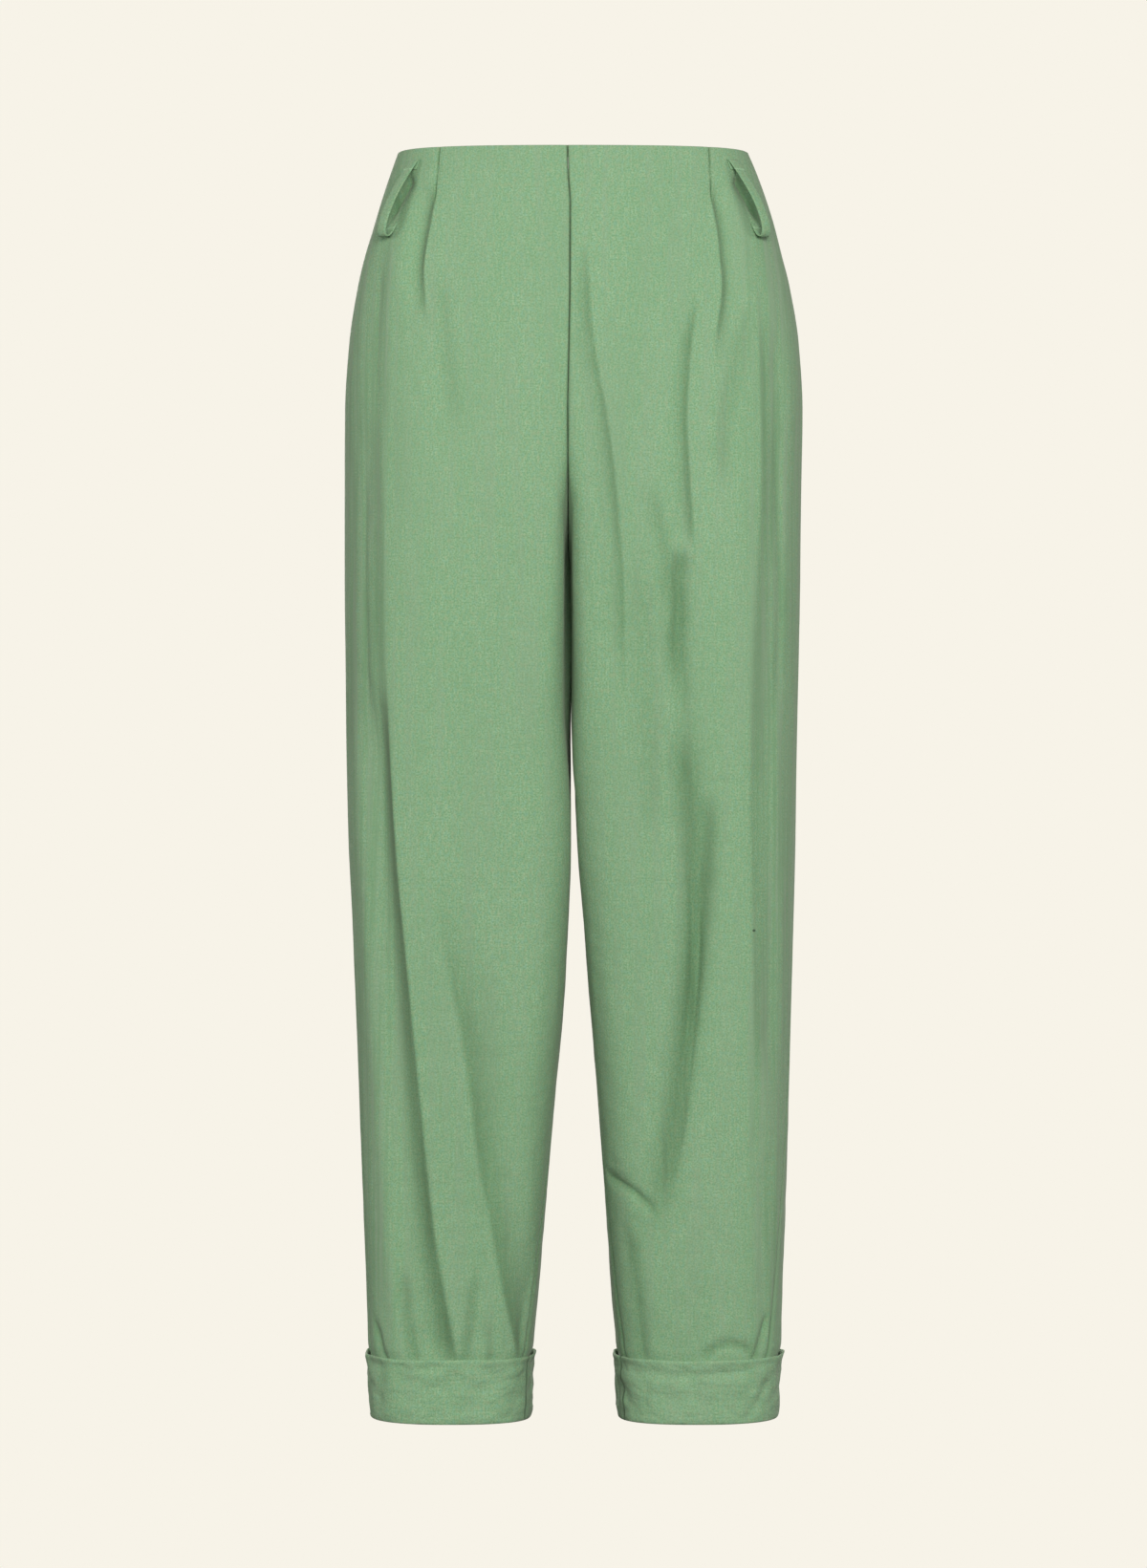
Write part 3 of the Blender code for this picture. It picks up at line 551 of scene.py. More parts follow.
def near_crease(line, across, z, far, upper, lower):
    """The places near a crease: which they are, how far each lies beside it, and how its ends fade there."""
    low, high = line.min(axis=0) - far, line.max(axis=0) + far
    near = (across > low[0]) & (across < high[0]) & (z > low[1]) & (z < high[1])
    along, aside = beside(line, across[near], z[near])
    return near, aside, smooth(along / upper) * smooth((path_length(line) - along) / lower)


class Shade:
    """One output of a material's nodes. Sums written with it add Math nodes to the same tree."""

    def __init__(self, tree, socket=None):
        self.tree, self.socket = tree, socket

    def node(self, kind, settings=None, values=None, output=0):
        """Adds a node: its settings first, then the values or links of its sockets, by name or number."""
        made = self.tree.nodes.new(kind)
        for name, value in (settings or {}).items():
            setattr(made, name, value)
        for name, value in (values or {}).items():
            socket = made.inputs[name]
            if isinstance(value, Shade):
                self.tree.links.new(value.socket, socket)
            elif isinstance(value, tuple) and len(value) == 3 and socket.type == "RGBA":
                socket.default_value = (*value, 1)
            else:
                socket.default_value = value
        return Shade(self.tree, made.outputs[output])

    def into(self, shader, name):
        """Links it to a socket of the shader."""
        self.tree.links.new(self.socket, shader.inputs[name])

    def maths(self, operation, *others):
        return self.node("ShaderNodeMath", {"operation": operation}, dict(enumerate((self, *others))))

    def __add__(self, other):
        return self.maths("ADD", other)

    __radd__ = __add__

    def __mul__(self, other):
        return self.maths("MULTIPLY", other)

    def __sub__(self, other):
        return self.maths("SUBTRACT", other)

    def __rsub__(self, other):
        return (self * -1.0) + other

    def __pow__(self, other):
        return self.maths("POWER", other)

    def mix(self, first, second):
        """This as the share of the second colour over the first."""
        values = {0: self, 6: first, 7: second}
        return self.node("ShaderNodeMix", {"data_type": "RGBA"}, values, output=2)

    def vector(self, x, y, z):
        return self.node("ShaderNodeCombineXYZ", None, {0: x, 1: y, 2: z})

    def noise(self, place, scale, detail=2.0, rough=0.5):
        values = {"Vector": place, "Scale": scale, "Detail": detail, "Roughness": rough}
        return self.node("ShaderNodeTexNoise", None, values)


def new_material(name):
    """A material with only a shader and its output; gives the material, its tree's start and the shader."""
    made = bpy.data.materials.new(name)
    made.use_nodes = True
    tree = made.node_tree
    return made, Shade(tree), tree.nodes["Principled BSDF"]


# The cloth is a shot cotton: green warp and paler, pinkish and bluish weft in a plain weave. The yarn is
# uneven, so the cloth is mottled from close by and has faint upright bands, a few knots of darker fibre, and
# a soft bloom where the surface turns away. Toward the side seams the bands and dark streaks are stronger, as
# painted sheen and painted shade, and shade is painted into the folds, darts and seams.
CLOTH = 0.0005
GREEN = (0.262, 0.455, 0.252)
GREEN_DEEP = (0.188, 0.362, 0.186)
GREEN_LIGHT = (0.345, 0.540, 0.325)
ROSE = (0.345, 0.430, 0.250)
BLUISH = (0.225, 0.445, 0.310)
ROSE_GREY = (0.290, 0.405, 0.270)
# How much the painted shade in the folds and along the seams darkens the colour
PAINTED_FOLD_SHADE = (0.50, 0.58, 0.49)
SPECK = (0.140, 0.270, 0.150)
FLECK_TONE = (0.040, 0.070, 0.042)
YARN = 0.00046  # from one yarn to the next


def cotton_cloth(name, seed, fleck=None, to_seam=0.0, crumpled=0.35):
    """The cotton of one piece. A fleck has a place on the cut and a size; to_seam is the side seam's way,
    toward which painted sheen and painted shade grow.
    """
    look, start, shader = new_material(name)
    place = start.node("ShaderNodeUVMap", {"uv_map": "cut"})
    parts = start.node("ShaderNodeSeparateXYZ", None, {0: place})
    across, down = parts, Shade(parts.tree, parts.socket.node.outputs[1])

    def between(shade, low, high, top):
        """Spreads the part of a pattern from low to high over 0 to top."""
        return start.node("ShaderNodeMapRange", None, {0: shade, 1: low, 2: high, 3: 0.0, 4: top})

    # Yarns: over and under by turns
    warp = (across * (math.pi / YARN)).maths("SINE").maths("ABSOLUTE")
    weft = (down * (math.pi / YARN)).maths("SINE").maths("ABSOLUTE")
    over = (across * (1 / YARN)).maths("FLOOR") + (down * (1 / YARN)).maths("FLOOR")
    over = (over * 0.5).maths("FRACT").maths("GREATER_THAN", 0.25)
    weave = warp * over + weft * (1.0 - over)

    # Slubs along the yarns, mottling, bands and streaks
    slub_warp = start.noise(start.vector(across, down * 0.10, seed), 620.0, 1.0)
    slub_weft = start.noise(start.vector(across * 0.16, down, seed + 3.0), 620.0, 1.0)
    fine = start.noise(start.vector(across, down, seed + 7.0), 760.0, 1.0)
    hue = start.noise(start.vector(across, down * 0.6, seed + 9.0), 430.0, 1.5)
    broad = start.noise(start.vector(across, down * 0.20, seed + 11.0), 30.0, 2.0)
    band = start.noise(start.vector(across, down * 0.05, seed + 17.0), 130.0, 2.0)
    streak = start.noise(start.vector(across, down * 0.03, seed + 23.0), 210.0, 2.0)

    colour = between(slub_warp, 0.36, 0.66, 1.0).mix(GREEN, GREEN_LIGHT)
    colour = between(slub_weft, 0.38, 0.68, 0.75).mix(colour, GREEN)
    colour = between(fine, 0.42, 0.66, 1.0).mix(colour, GREEN_DEEP)
    colour = between(hue, 0.50, 0.74, 0.55).mix(colour, ROSE)
    colour = between(hue, 0.50, 0.28, 0.55).mix(colour, BLUISH)
    # Toward the side seam, where the cloth turns away: stronger rose-grey bands as painted sheen, and dark
    # streaks as painted shade
    to_side = between(across * to_seam, 0.035, 0.065, 1.0)
    colour = (between(band, 0.44, 0.66, 1.0) * (to_side * 0.45 + 0.30)).mix(colour, ROSE_GREY)
    colour = (between(streak, 0.46, 0.66, 1.0) * to_side * 0.55).mix(colour, GREEN_DEEP)
    colour = between(broad, 0.35, 0.70, 0.20).mix(colour, GREEN_DEEP)

    # Painted shade in the folds, along the sewn darts and along the seams, read from the attribute named
    # turned and partly broken up by the bands
    turned = start.node("ShaderNodeAttribute", {"attribute_name": "turned"}, None, output=2)
    turned = turned * (between(band, 0.30, 0.62, 1.0) * 0.35) + turned * 0.65
    colour = start.node("ShaderNodeMix", {"data_type": "RGBA", "blend_type": "MULTIPLY"},
                        {0: turned, 6: colour, 7: PAINTED_FOLD_SHADE}, output=2)

    # Specks: a few knots of darker fibre
    cells = start.node("ShaderNodeTexVoronoi", {"feature": "F1"},
                       {"Vector": start.vector(across, down, seed), "Scale": 70.0})
    chosen = Shade(cells.tree, cells.socket.node.outputs["Color"])
    pick = start.node("ShaderNodeSeparateColor", None, {0: chosen})
    speck = cells.maths("LESS_THAN", 0.045) * pick.maths("GREATER_THAN", 0.70)
    colour = (speck * 0.6).mix(colour, SPECK)
    if fleck:
        place_x, place_z, radius = fleck
        away = ((across - place_x) ** 2.0 + ((down - place_z) * 1.6) ** 2.0).maths("SQRT")
        colour = between(away, radius, radius * 0.4, 0.9).mix(colour, FLECK_TONE)

    colour.into(shader, "Base Color")
    rough = 0.96 - weave * 0.10
    rough.into(shader, "Roughness")
    relief = weave * 0.35 + slub_warp * 0.9 + slub_weft * 0.9 + fine * 0.6
    bump = start.node("ShaderNodeBump", None, {"Strength": 0.45, "Distance": 0.00016, "Height": relief})
    wrinkles = start.noise(start.vector(across + down * 0.5, down * 1.5, seed + 29.0), 62.0, 2.5, 0.55)
    bump = start.node("ShaderNodeBump", None, {"Strength": crumpled, "Distance": 0.0022, "Height": wrinkles,
                                               "Normal": bump})
    bump.into(shader, "Normal")
    shader.inputs["Specular IOR Level"].default_value = 0.15
    shader.inputs["Sheen Weight"].default_value = 0.14
    shader.inputs["Sheen Roughness"].default_value = 0.5
    shader.inputs["Sheen Tint"].default_value = (1.0, 0.86, 0.84, 1)
    return look


# The four panels, cut from waist edge to hem. Their edges are turned in at the seams and at the waist, and a
# dart takes in each one at the waist; the front darts open into soft pleats.
PANEL_END = -OUTSEAM + 0.0018
COLUMNS = 132
# A turned-in seam edge: how far inside the panel's end, and how deep; and the waist's: height, and how deep
LIP = ((0.0008, 0.0), (0.00052, 0.00005), (0.00024, 0.00023), (0.00007, 0.00050), (0.0, 0.0009),
       (-0.00017, 0.0016), (-0.00017, 0.0026))
WAIST_TURN = ((-0.0090, 0.00150), (-0.0050, 0.00150), (-0.0012, 0.00145), (-0.0003, 0.00120), (0.0, 0.00072),
              (-0.00025, 0.00025))
# Darts: distance from the centre line at the waist and at the end, height of the end, and depth
DARTS = {("right", "front"): (0.1022, 0.1053, -0.040, 0.0022),
         ("left", "front"): (0.1042, 0.1060, -0.040, 0.0022),
         ("right", "back"): (0.0560, 0.0600, -0.062, 0.0020),
         ("left", "back"): (0.0570, 0.0610, -0.062, 0.0020)}
UNDER_CUFF, UNDER_CUFF_TOP = 0.0014, -0.9215  # how far the cloth is drawn in under a cuff, and from where


def dart_place(outline, leg, panel):
    top, bottom, end, _ = DARTS[leg, panel]
    share = np.clip(outline.z / end, 0, 1)
    return outline.across(panel, top + (bottom - top) * share)


def rows_of_panel():
    above = list(np.linspace(-0.0009, -0.200, 66, endpoint=False))
    seat = [CROTCH + (CROTCH_TOP - CROTCH) * (1 - math.cos(a)) for a in np.linspace(math.pi / 2, 0, 50)]
    below = list(np.linspace(CROTCH - 0.0008, PANEL_END, 190))
    return above + seat + below


def dense_places(outline, leg, panel, cut, first, last):
    """Places across a panel, closer together at bends, along the dart and at both ends."""
    s = np.linspace(first, last, 900)
    dense = 1 + 0.018 * np.interp(s, outline.s, outline.bend)
    dense += 2.0 * np.exp(-(s - first) / 0.003) + 2.0 * np.exp(-(last - s) / 0.003)
    fade = 1 - smooth((-outline.z - 0.035) / 0.060)
    grain = outline.across(panel, GRAIN)
    for place, width, weight in cut.steep_places(outline.z):
        dense += 2.6 * weight * np.exp(-(((s - grain - place) / (0.003 + 1.2 * width)) ** 2))
    dense += 7.0 * fade * np.exp(-(((s - dart_place(outline, leg, panel)) / 0.0030) ** 2))
    run = np.append(0, np.cumsum((dense[1:] + dense[:-1]) / 2))
    return np.interp(np.linspace(0, run[-1], COLUMNS), run, s)


def cloth_piece(name, points, uv, faces, look):
    """A piece of cloth through rows of points, with its cut as a UV map."""
    mesh = bpy.data.meshes.new(name)
    mesh.from_pydata(points.reshape(-1, 3).tolist(), [], faces.tolist())
    layer = mesh.uv_layers.new(name="cut")
    layer.data.foreach_set("uv", uv.reshape(-1, 2)[faces.reshape(-1)].reshape(-1))
    mesh.polygons.foreach_set("use_smooth", [True] * len(mesh.polygons))
    mesh.materials.append(look)
    piece = bpy.data.objects.new(name, mesh)
    bpy.context.scene.collection.objects.link(piece)
    return piece


def grid_piece(name, points, uv, flip, look, wall):
    """A sheet of cloth through a grid of points, with its thickness behind it."""
    rows, columns = points.shape[:2]
    index = np.arange(rows * columns).reshape(rows, columns)
    faces = np.stack([index[:-1, :-1], index[1:, :-1], index[1:, 1:], index[:-1, 1:]], axis=-1).reshape(-1, 4)
    if flip:
        faces = faces[:, ::-1]
    piece = cloth_piece(name, points, uv, faces, look)
    shell = piece.modifiers.new("Cloth", "SOLIDIFY")
    shell.thickness = wall
    shell.offset = -1
    return piece


def unevenness(points, flat, z):
    """Waves, ripples and small crumples that the cloth has everywhere, and upright ribs along its sides."""
    lift = np.empty(len(points))
    for k, ((x, y, height), across, down) in enumerate(zip(points, flat, z)):
        wide = noise.noise(Vector((x * 14, y * 14, height * 5.5)))
        small = noise.noise(Vector((x * 42 + 9, y * 42, height * 13)))
        ribs = noise.noise(Vector((across * 95, down * 5, y * 3)))
        crumple = noise.noise(Vector((across * 70, down * 55, 5.0)))
        to_side = min(max((abs(across) - 0.035) / 0.025, 0), 1)
        low = min(max((-down - 0.50) / 0.25, 0), 1)
        lift[k] = 0.0013 * wide + 0.00045 * small + (0.00012 + 0.00034 * to_side) * ribs
        lift[k] += (0.00014 + 0.00030 * low) * crumple
    return lift


# A dark fleck on the left leg: its distance from the centre line, height and size
FLECK = (0.1370, -0.5985, 0.0022)
cuts = {}
for leg in ("right", "left"):
    row_heights = rows_of_panel()
    outlines = [Outline(leg, z) for z in row_heights]
    for panel in ("front", "back"):
        cut = cuts[leg, panel] = Cut(leg, panel)
        ends = [(o.start, o.side) if panel == "front" else (o.side, o.end) for o in outlines]
        places, ins = [], []
        for outline, (first, last) in zip(outlines, ends):
            first, last = first + SEAM_GAP / 2, last - SEAM_GAP / 2
            middle = dense_places(outline, leg, panel, cut, first + LIP[0][0], last - LIP[0][0])
            lips = [(first + d, depth) for d, depth in LIP[:0:-1]]
            lips_end = [(last - d, depth) for d, depth in LIP[1:]]
            places.append([p for p, _ in lips] + list(middle) + [p for p, _ in lips_end])
            ins.append([d for _, d in lips] + [0.0] * COLUMNS + [d for _, d in lips_end])
        places, ins = np.array(places), np.array(ins)
        z = np.array(row_heights)[:, None] * np.ones_like(places)
        grain = np.array([o.across(panel, GRAIN) for o in outlines])[:, None]
        flat = places - grain
        edge = np.minimum(places - places[:, :1], places[:, -1:] - places)
        lift = cut.height(flat, z) * smooth(edge / 0.010)
        # Shade painted into the colour along the folds
        painted_shade_amount = cut.tone(flat, z) * smooth(edge / 0.006)

        # Unevenness, which fades out at the seams and at the waist
        base = np.array([o.points(row) for o, row in zip(outlines, places)])
        calm = smooth(edge / 0.030) * smooth((-z - 0.004) / 0.050)
        lift += unevenness(base.reshape(-1, 3), flat.ravel(), z.ravel()).reshape(lift.shape) * calm

        # The cloth is drawn in under the cuffs, along the seams and along the sewn dart
        lift -= UNDER_CUFF * smooth((UNDER_CUFF_TOP - z) / 0.006)
        lift -= SEAM_DIP * np.exp(-((edge / SEAM_DRAW) ** 2))
        dart = np.array([dart_place(o, leg, panel) for o in outlines])[:, None]
        sewn = 1 - smooth((-z + DARTS[leg, panel][2] + 0.002) / 0.010)
        depth = DARTS[leg, panel][3]
        aside = places - dart
        groove = np.exp(-np.abs(aside / 0.0006) ** 1.5) + 0.3 * np.exp(-((aside / 0.005) ** 2))
        lift -= sewn * depth * groove
        # Painted shade along the sewn dart and along the seams
        painted_shade_amount += 0.8 * sewn * np.exp(-((aside / 0.0008) ** 2)) + 0.7 * np.exp(-((edge / 0.0009) ** 2))

        points = np.array([o.points(row, up) for o, row, up in zip(outlines, places, lift - ins)])
        if panel == "front":
            above = np.array(row_heights) > CROTCH_TOP
            points[above, 0:2, 0] -= outlines[0].sign * SEAM_MEET
        top = []
        for low, inward in WAIST_TURN:
            row = outlines[0].points(places[0], (lift - ins)[0] - inward)
            if panel == "front":
                row[0:2, 0] -= outlines[0].sign * SEAM_MEET
            row[:, 2] += low - row_heights[0]
            top.append(row)
        points = np.concatenate([top, points])
        turned = [row_heights[0] + 0.0008 * (len(WAIST_TURN) - k) for k in range(len(WAIST_TURN))]
        uv = np.stack([flat, z], axis=-1)
        uv = np.concatenate([[np.stack([flat[0], np.full(len(flat[0]), v)], axis=-1) for v in turned], uv])
        fleck = (*cut.flat(*FLECK[:2]), FLECK[2]) if (leg, panel) == ("left", "front") else None
        to_seam = 1.0 if panel == "front" else -1.0
        look = cotton_cloth(f"Cotton, {panel} {leg}", 5.0 * len(cuts), fleck, to_seam)
        piece = grid_piece(f"{panel}_{leg}_cloth", points, uv, leg == "right", look, CLOTH)
        # The painted shade is stored on the cloth as the attribute named turned, for its material
        painted_shade_amount = np.concatenate([np.repeat(painted_shade_amount[:1], len(top), axis=0), painted_shade_amount])
        layer = piece.data.attributes.new("turned", "FLOAT", "POINT")
        layer.data.foreach_set("value", np.clip(painted_shade_amount, 0, 1).ravel().astype(np.float32))
        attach(piece, "trousers")
        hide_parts(f"{panel}_{leg}")
        wide = float(flat.max() - flat.min())


# Stitches and zip teeth: one rounded thread or tooth, repeated along a row of places by Geometry Nodes
STITCH_THICK = 0.0005
DITCH_STITCH, BARTACK_STITCH = 0.0016, 0.0022  # their lengths
rows_tree = bpy.data.node_groups.new("Row of stitches", "GeometryNodeTree")
row_inputs = (("Geometry", "Geometry"), ("Length", "Float"), ("Thickness", "Float"), ("Look", "Material"))
for name, kind in row_inputs:
    rows_tree.interface.new_socket(name, in_out="INPUT", socket_type="NodeSocket" + kind)
rows_tree.interface.new_socket("Geometry", in_out="OUTPUT", socket_type="NodeSocketGeometry")
row_in, row_out = rows_tree.nodes.new("NodeGroupInput"), rows_tree.nodes.new("NodeGroupOutput")
thread = rows_tree.nodes.new("GeometryNodeMeshIcoSphere")
thread.inputs["Radius"].default_value = 0.5
thread.inputs["Subdivisions"].default_value = 2
thread_size = rows_tree.nodes.new("ShaderNodeCombineXYZ")
thread_way = rows_tree.nodes.new("GeometryNodeInputNamedAttribute")
thread_way.data_type = "FLOAT_VECTOR"
thread_way.inputs["Name"].default_value = "along"
thread_turn = rows_tree.nodes.new("FunctionNodeAlignRotationToVector")
thread_turn.axis = "Z"
placed = rows_tree.nodes.new("GeometryNodeInstanceOnPoints")
joined = rows_tree.nodes.new("GeometryNodeRealizeInstances")
coloured = rows_tree.nodes.new("GeometryNodeSetMaterial")
for source, name, target, socket in (
    (row_in, "Geometry", placed, "Points"),
    (thread, "Mesh", placed, "Instance"),
    (row_in, "Thickness", thread_size, "X"),
    (row_in, "Thickness", thread_size, "Y"),
    (row_in, "Length", thread_size, "Z"),
    (thread_size, "Vector", placed, "Scale"),
    (thread_way, "Attribute", thread_turn, "Vector"),
    (thread_turn, "Rotation", placed, "Rotation"),
    (placed, "Instances", joined, "Geometry"),
    (joined, "Geometry", coloured, "Geometry"),
    (row_in, "Look", coloured, "Material"),
    (coloured, "Geometry", row_out, "Geometry"),
):
    rows_tree.links.new(source.outputs[name], target.inputs[socket])


def row_of_stitches(name, look, places, along, length, thickness):
    """One thread or tooth at each place, turned along its own direction, as one finished mesh."""
    mesh = bpy.data.meshes.new(name)
    mesh.from_pydata([tuple(place) for place in places], [], [])
    layer = mesh.attributes.new("along", "FLOAT_VECTOR", "POINT")
    layer.data.foreach_set("vector", np.array(along, dtype=np.float32).ravel())
    piece = bpy.data.objects.new(name, mesh)
    bpy.context.scene.collection.objects.link(piece)
    row = piece.modifiers.new("Row", "NODES")
    row.node_group = rows_tree
    chosen = {"Length": length, "Thickness": thickness, "Look": look}
    for item in rows_tree.interface.items_tree:
        if item.in_out == "INPUT" and item.name in chosen:
            row[item.identifier] = chosen[item.name]
    piece.update_tag()
    evaluated = piece.evaluated_get(bpy.context.evaluated_depsgraph_get())
    made = bpy.data.meshes.new_from_object(evaluated)
    piece.modifiers.remove(row)
    piece.data = made
    made.name = name
    made.polygons.foreach_set("use_smooth", [True] * len(made.polygons))
    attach(piece, "trousers")


thread_look, start, shader = new_material("Sewing thread, pale green")
twist = start.noise(start.node("ShaderNodeTexCoord", output=3), 2400.0, 1.0)
thread_colour = twist.mix((0.260, 0.450, 0.260), (0.400, 0.590, 0.390))
thread_colour.into(shader, "Base Color")
shader.inputs["Roughness"].default_value = 0.6


# The cuffs: the cloth turned up outside the leg as a band of two layers, with a soft fold at its upper edge
# that stands a little off the leg, and held by a short line of stitches in the ditch of the inseam.
CUFF_HEIGHT = 0.0495
CUFF_COLUMNS = 210
# The cuff's cloth across its fold, from its inside round to the outside: how far outside the leg's surface,
# and the height
CUFF_FORM = (
    (0.00030, CUFF_HEIGHT - 0.0042), (0.00030, 0.0280), (0.00030, 0.0100), (0.00025, 0.0030),
    (0.00015, 0.0016), (-0.00040, 0.0013), (-0.00100, 0.0014), (-0.00150, 0.0022), (-0.00185, 0.0018),
    (-0.00175, 0.0008), (-0.00110, 0.0001), (-0.00020, -0.0000), (0.00080, 0.0000), (0.00140, 0.0006),
    (0.00180, 0.0018), (0.00195, 0.0045), (0.00200, 0.0080), (0.00200, 0.0120), (0.00205, 0.0160),
    (0.00210, 0.0200), (0.00210, 0.0240), (0.00215, 0.0280), (0.00220, 0.0320), (0.00220, 0.0355),
    (0.00215, 0.0385), (0.00200, 0.0410), (0.00195, 0.0430), (0.00215, 0.0448), (0.00255, 0.0462),
    (0.00285, 0.0475), (0.00280, 0.0487), (0.00225, CUFF_HEIGHT), (0.00150, CUFF_HEIGHT - 0.0004),
    (0.00085, CUFF_HEIGHT - 0.0018),
)

# Dents in the cuffs: leg, depth (negative stands out), width, fade at the ends, and points as the distance
# from the centre line and the height above the hem
CUFF_DENTS = (
    ("right", 0.0014, 0.0030, 0.010, ((0.1500, 0.0260), (0.1440, 0.0170), (0.1330, 0.0120))),
    ("right", 0.0012, 0.0022, 0.006, ((0.1300, 0.0430), (0.1230, 0.0410), (0.1120, 0.0425))),
    ("right", 0.0010, 0.0030, 0.012, ((0.0900, 0.0350), (0.0700, 0.0270), (0.0560, 0.0300))),
    ("right", 0.0009, 0.0026, 0.010, ((0.0560, 0.0130), (0.0800, 0.0100), (0.1000, 0.0160))),
    ("right", -0.0010, 0.0030, 0.012, ((0.1100, 0.0300), (0.1000, 0.0200), (0.0940, 0.0080))),
    ("left", 0.0018, 0.0030, 0.010, ((0.0355, 0.0330), (0.0430, 0.0180), (0.0530, 0.0040))),
    ("left", 0.0016, 0.0028, 0.010, ((0.1510, 0.0370), (0.1420, 0.0200), (0.1320, 0.0045))),
    ("left", 0.0013, 0.0020, 0.014, ((0.0500, 0.0400), (0.0800, 0.0388), (0.1100, 0.0390), (0.1340, 0.0405))),
    ("left", 0.0010, 0.0030, 0.012, ((0.0700, 0.0240), (0.0900, 0.0180), (0.1120, 0.0210))),
    ("left", -0.0010, 0.0030, 0.012, ((0.0660, 0.0330), (0.0600, 0.0200), (0.0640, 0.0090))),
)
CUFF_CRUMPLE = 0.0017
DITCH = 0.016  # from the inseam back to the short row of stitches that holds a cuff up
DITCH_ENDS = 0.0100, 0.0400
DITCH_STITCHES = 14
DITCH_OUT = 0.0001

for leg in ("right", "left"):
    heights = [z - OUTSEAM for _, z in CUFF_FORM]
    outlines = [Outline(leg, z) for z in heights]
    share = np.linspace(0, 1, CUFF_COLUMNS, endpoint=False)
    loops, uvs = [], []
    run = 0.0
    for k, ((out, up), outline) in enumerate(zip(CUFF_FORM, outlines)):
        places = outline.start + share * (outline.end - outline.start)
        base = outline.points(places)
        height = up / CUFF_HEIGHT
        wave = np.array([noise.noise(Vector((x * 22, y * 22, 3.0))) for x, y, _ in base])
        ripple = np.array([noise.noise(Vector((x * 30, y * 30, z * 30 + 8.0))) for x, y, z in base])
        outer = smooth((out + 0.0002) / 0.002)
        crumple = np.array([noise.noise(Vector((x * 75, y * 75, z * 95 + 2.0))) for x, y, z in base])
        uneven = (0.0006 * ripple + CUFF_CRUMPLE * crumple) * smooth(up / 0.008)
        stand = outer * (0.0006 * height ** 2 * wave + uneven)
        flat_x = np.abs(base[:, 0])
        for dent_leg, dent, width, fade, line in CUFF_DENTS:
            line = rounded(np.array(line))
            if dent_leg == leg:
                at, aside = beside(line, flat_x, np.full(len(flat_x), up))
                ends = smooth(at / fade + 0.3) * smooth((path_length(line) - at) / fade + 0.3)
                stand -= dent * outer * ends * np.exp(-((aside / width) ** 2)) * (base[:, 1] < -0.02)
        row = outline.points(places, out + stand)
        row[:, 2] += 0.0010 * wave * height ** 3
        loops.append(row)
        if k:
            run += float(np.hypot(out - CUFF_FORM[k - 1][0], up - CUFF_FORM[k - 1][1]))
        uvs.append(np.stack([places - outline.across("front", GRAIN), np.full(len(places), run)], axis=-1))
    loops, uvs = np.array(loops), np.array(uvs)
    index = np.arange(len(loops) * CUFF_COLUMNS).reshape(len(loops), CUFF_COLUMNS)
    below = np.roll(index, -1, 0)
    faces = np.stack([index, np.roll(index, -1, 1), np.roll(below, -1, 1), below], -1)
    if leg == "left":
        faces = faces[..., ::-1]
    look = cotton_cloth(f"Cotton, cuff {leg}", 31.0 if leg == "left" else 37.0, crumpled=1.0)
    piece = cloth_piece(f"cuff_{leg}_cloth", loops, uvs, faces.reshape(-1, 4), look)
    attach(piece, "trousers")
    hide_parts(f"cuff_{leg}")
    girth = float(np.median([o.end - o.start for o in outlines]))
    outer_rows = [k for k, (out, up) in enumerate(CUFF_FORM) if out > 0.0017 and 0.004 < up < 0.044]
    ditch = 1 - DITCH / girth
    column = loops[outer_rows, round(ditch * CUFF_COLUMNS)]
    heights = np.linspace(*DITCH_ENDS, DITCH_STITCHES) - OUTSEAM
    line = [np.interp(heights, column[:, 2], column[:, axis]) for axis in (0, 1)]
    line = np.stack([*line, heights], axis=1)
    line[:, 0] -= (1 if leg == "left" else -1) * DITCH_OUT
    upright = [(0, 0, 1)] * len(line)
    row_of_stitches(f"ditch_stitches_{leg}", thread_look, line, upright, DITCH_STITCH, STITCH_THICK)


# The belt loops: a strip of the same cotton folded to a strap, sewn down at both ends, that bows away from
# the hip and turns back under itself at its lower end.
LOOP_WIDTH = 0.0095
LOOP_CLOTH = 0.0014
LOOP_TOP = -0.0115
LOOP_ROUND = 0.862, 0.884  # how far round to the side its two ends are sewn, as a share of the half width
# The middle of the strap from its upper end: how far off the hip, and how far down
LOOP_PATH = (
    (0.0012, 0.0060), (0.0012, 0.0010), (0.0024, -0.0018), (0.0044, 0.0030), (0.0082, 0.0150),
    (0.0110, 0.0270), (0.0122, 0.0380), (0.0120, 0.0480), (0.0100, 0.0550), (0.0066, 0.0578),
    (0.0034, 0.0555), (0.0016, 0.0480),
)
LOOP_STEPS = 7
# Across the strap: places as a share of its width, and how thick it is there
LOOP_SHARES = (-0.5, -0.47, -0.36, -0.15, 0.15, 0.36, 0.47, 0.5)
LOOP_THIN = (0.35, 0.8, 1.0, 1.0, 1.0, 1.0, 0.8, 0.35)
BARTACK_STITCHES = 13
# Bartacks: end of the strap, the ring of points they lie on, and the first point of the outward face
BARTACKS = (("upper", 23, len(LOOP_SHARES)), ("lower", 74, 0))


def place_on_hip(leg, outline):
    """Where a belt loop's middle line crosses an outline."""
    upper, lower = LOOP_ROUND
    share = upper + (lower - upper) * np.clip((LOOP_TOP - outline.z) / 0.056, 0, 1)
    return outline.across("front", share * WIDTHS("side_" + leg, outline.z))


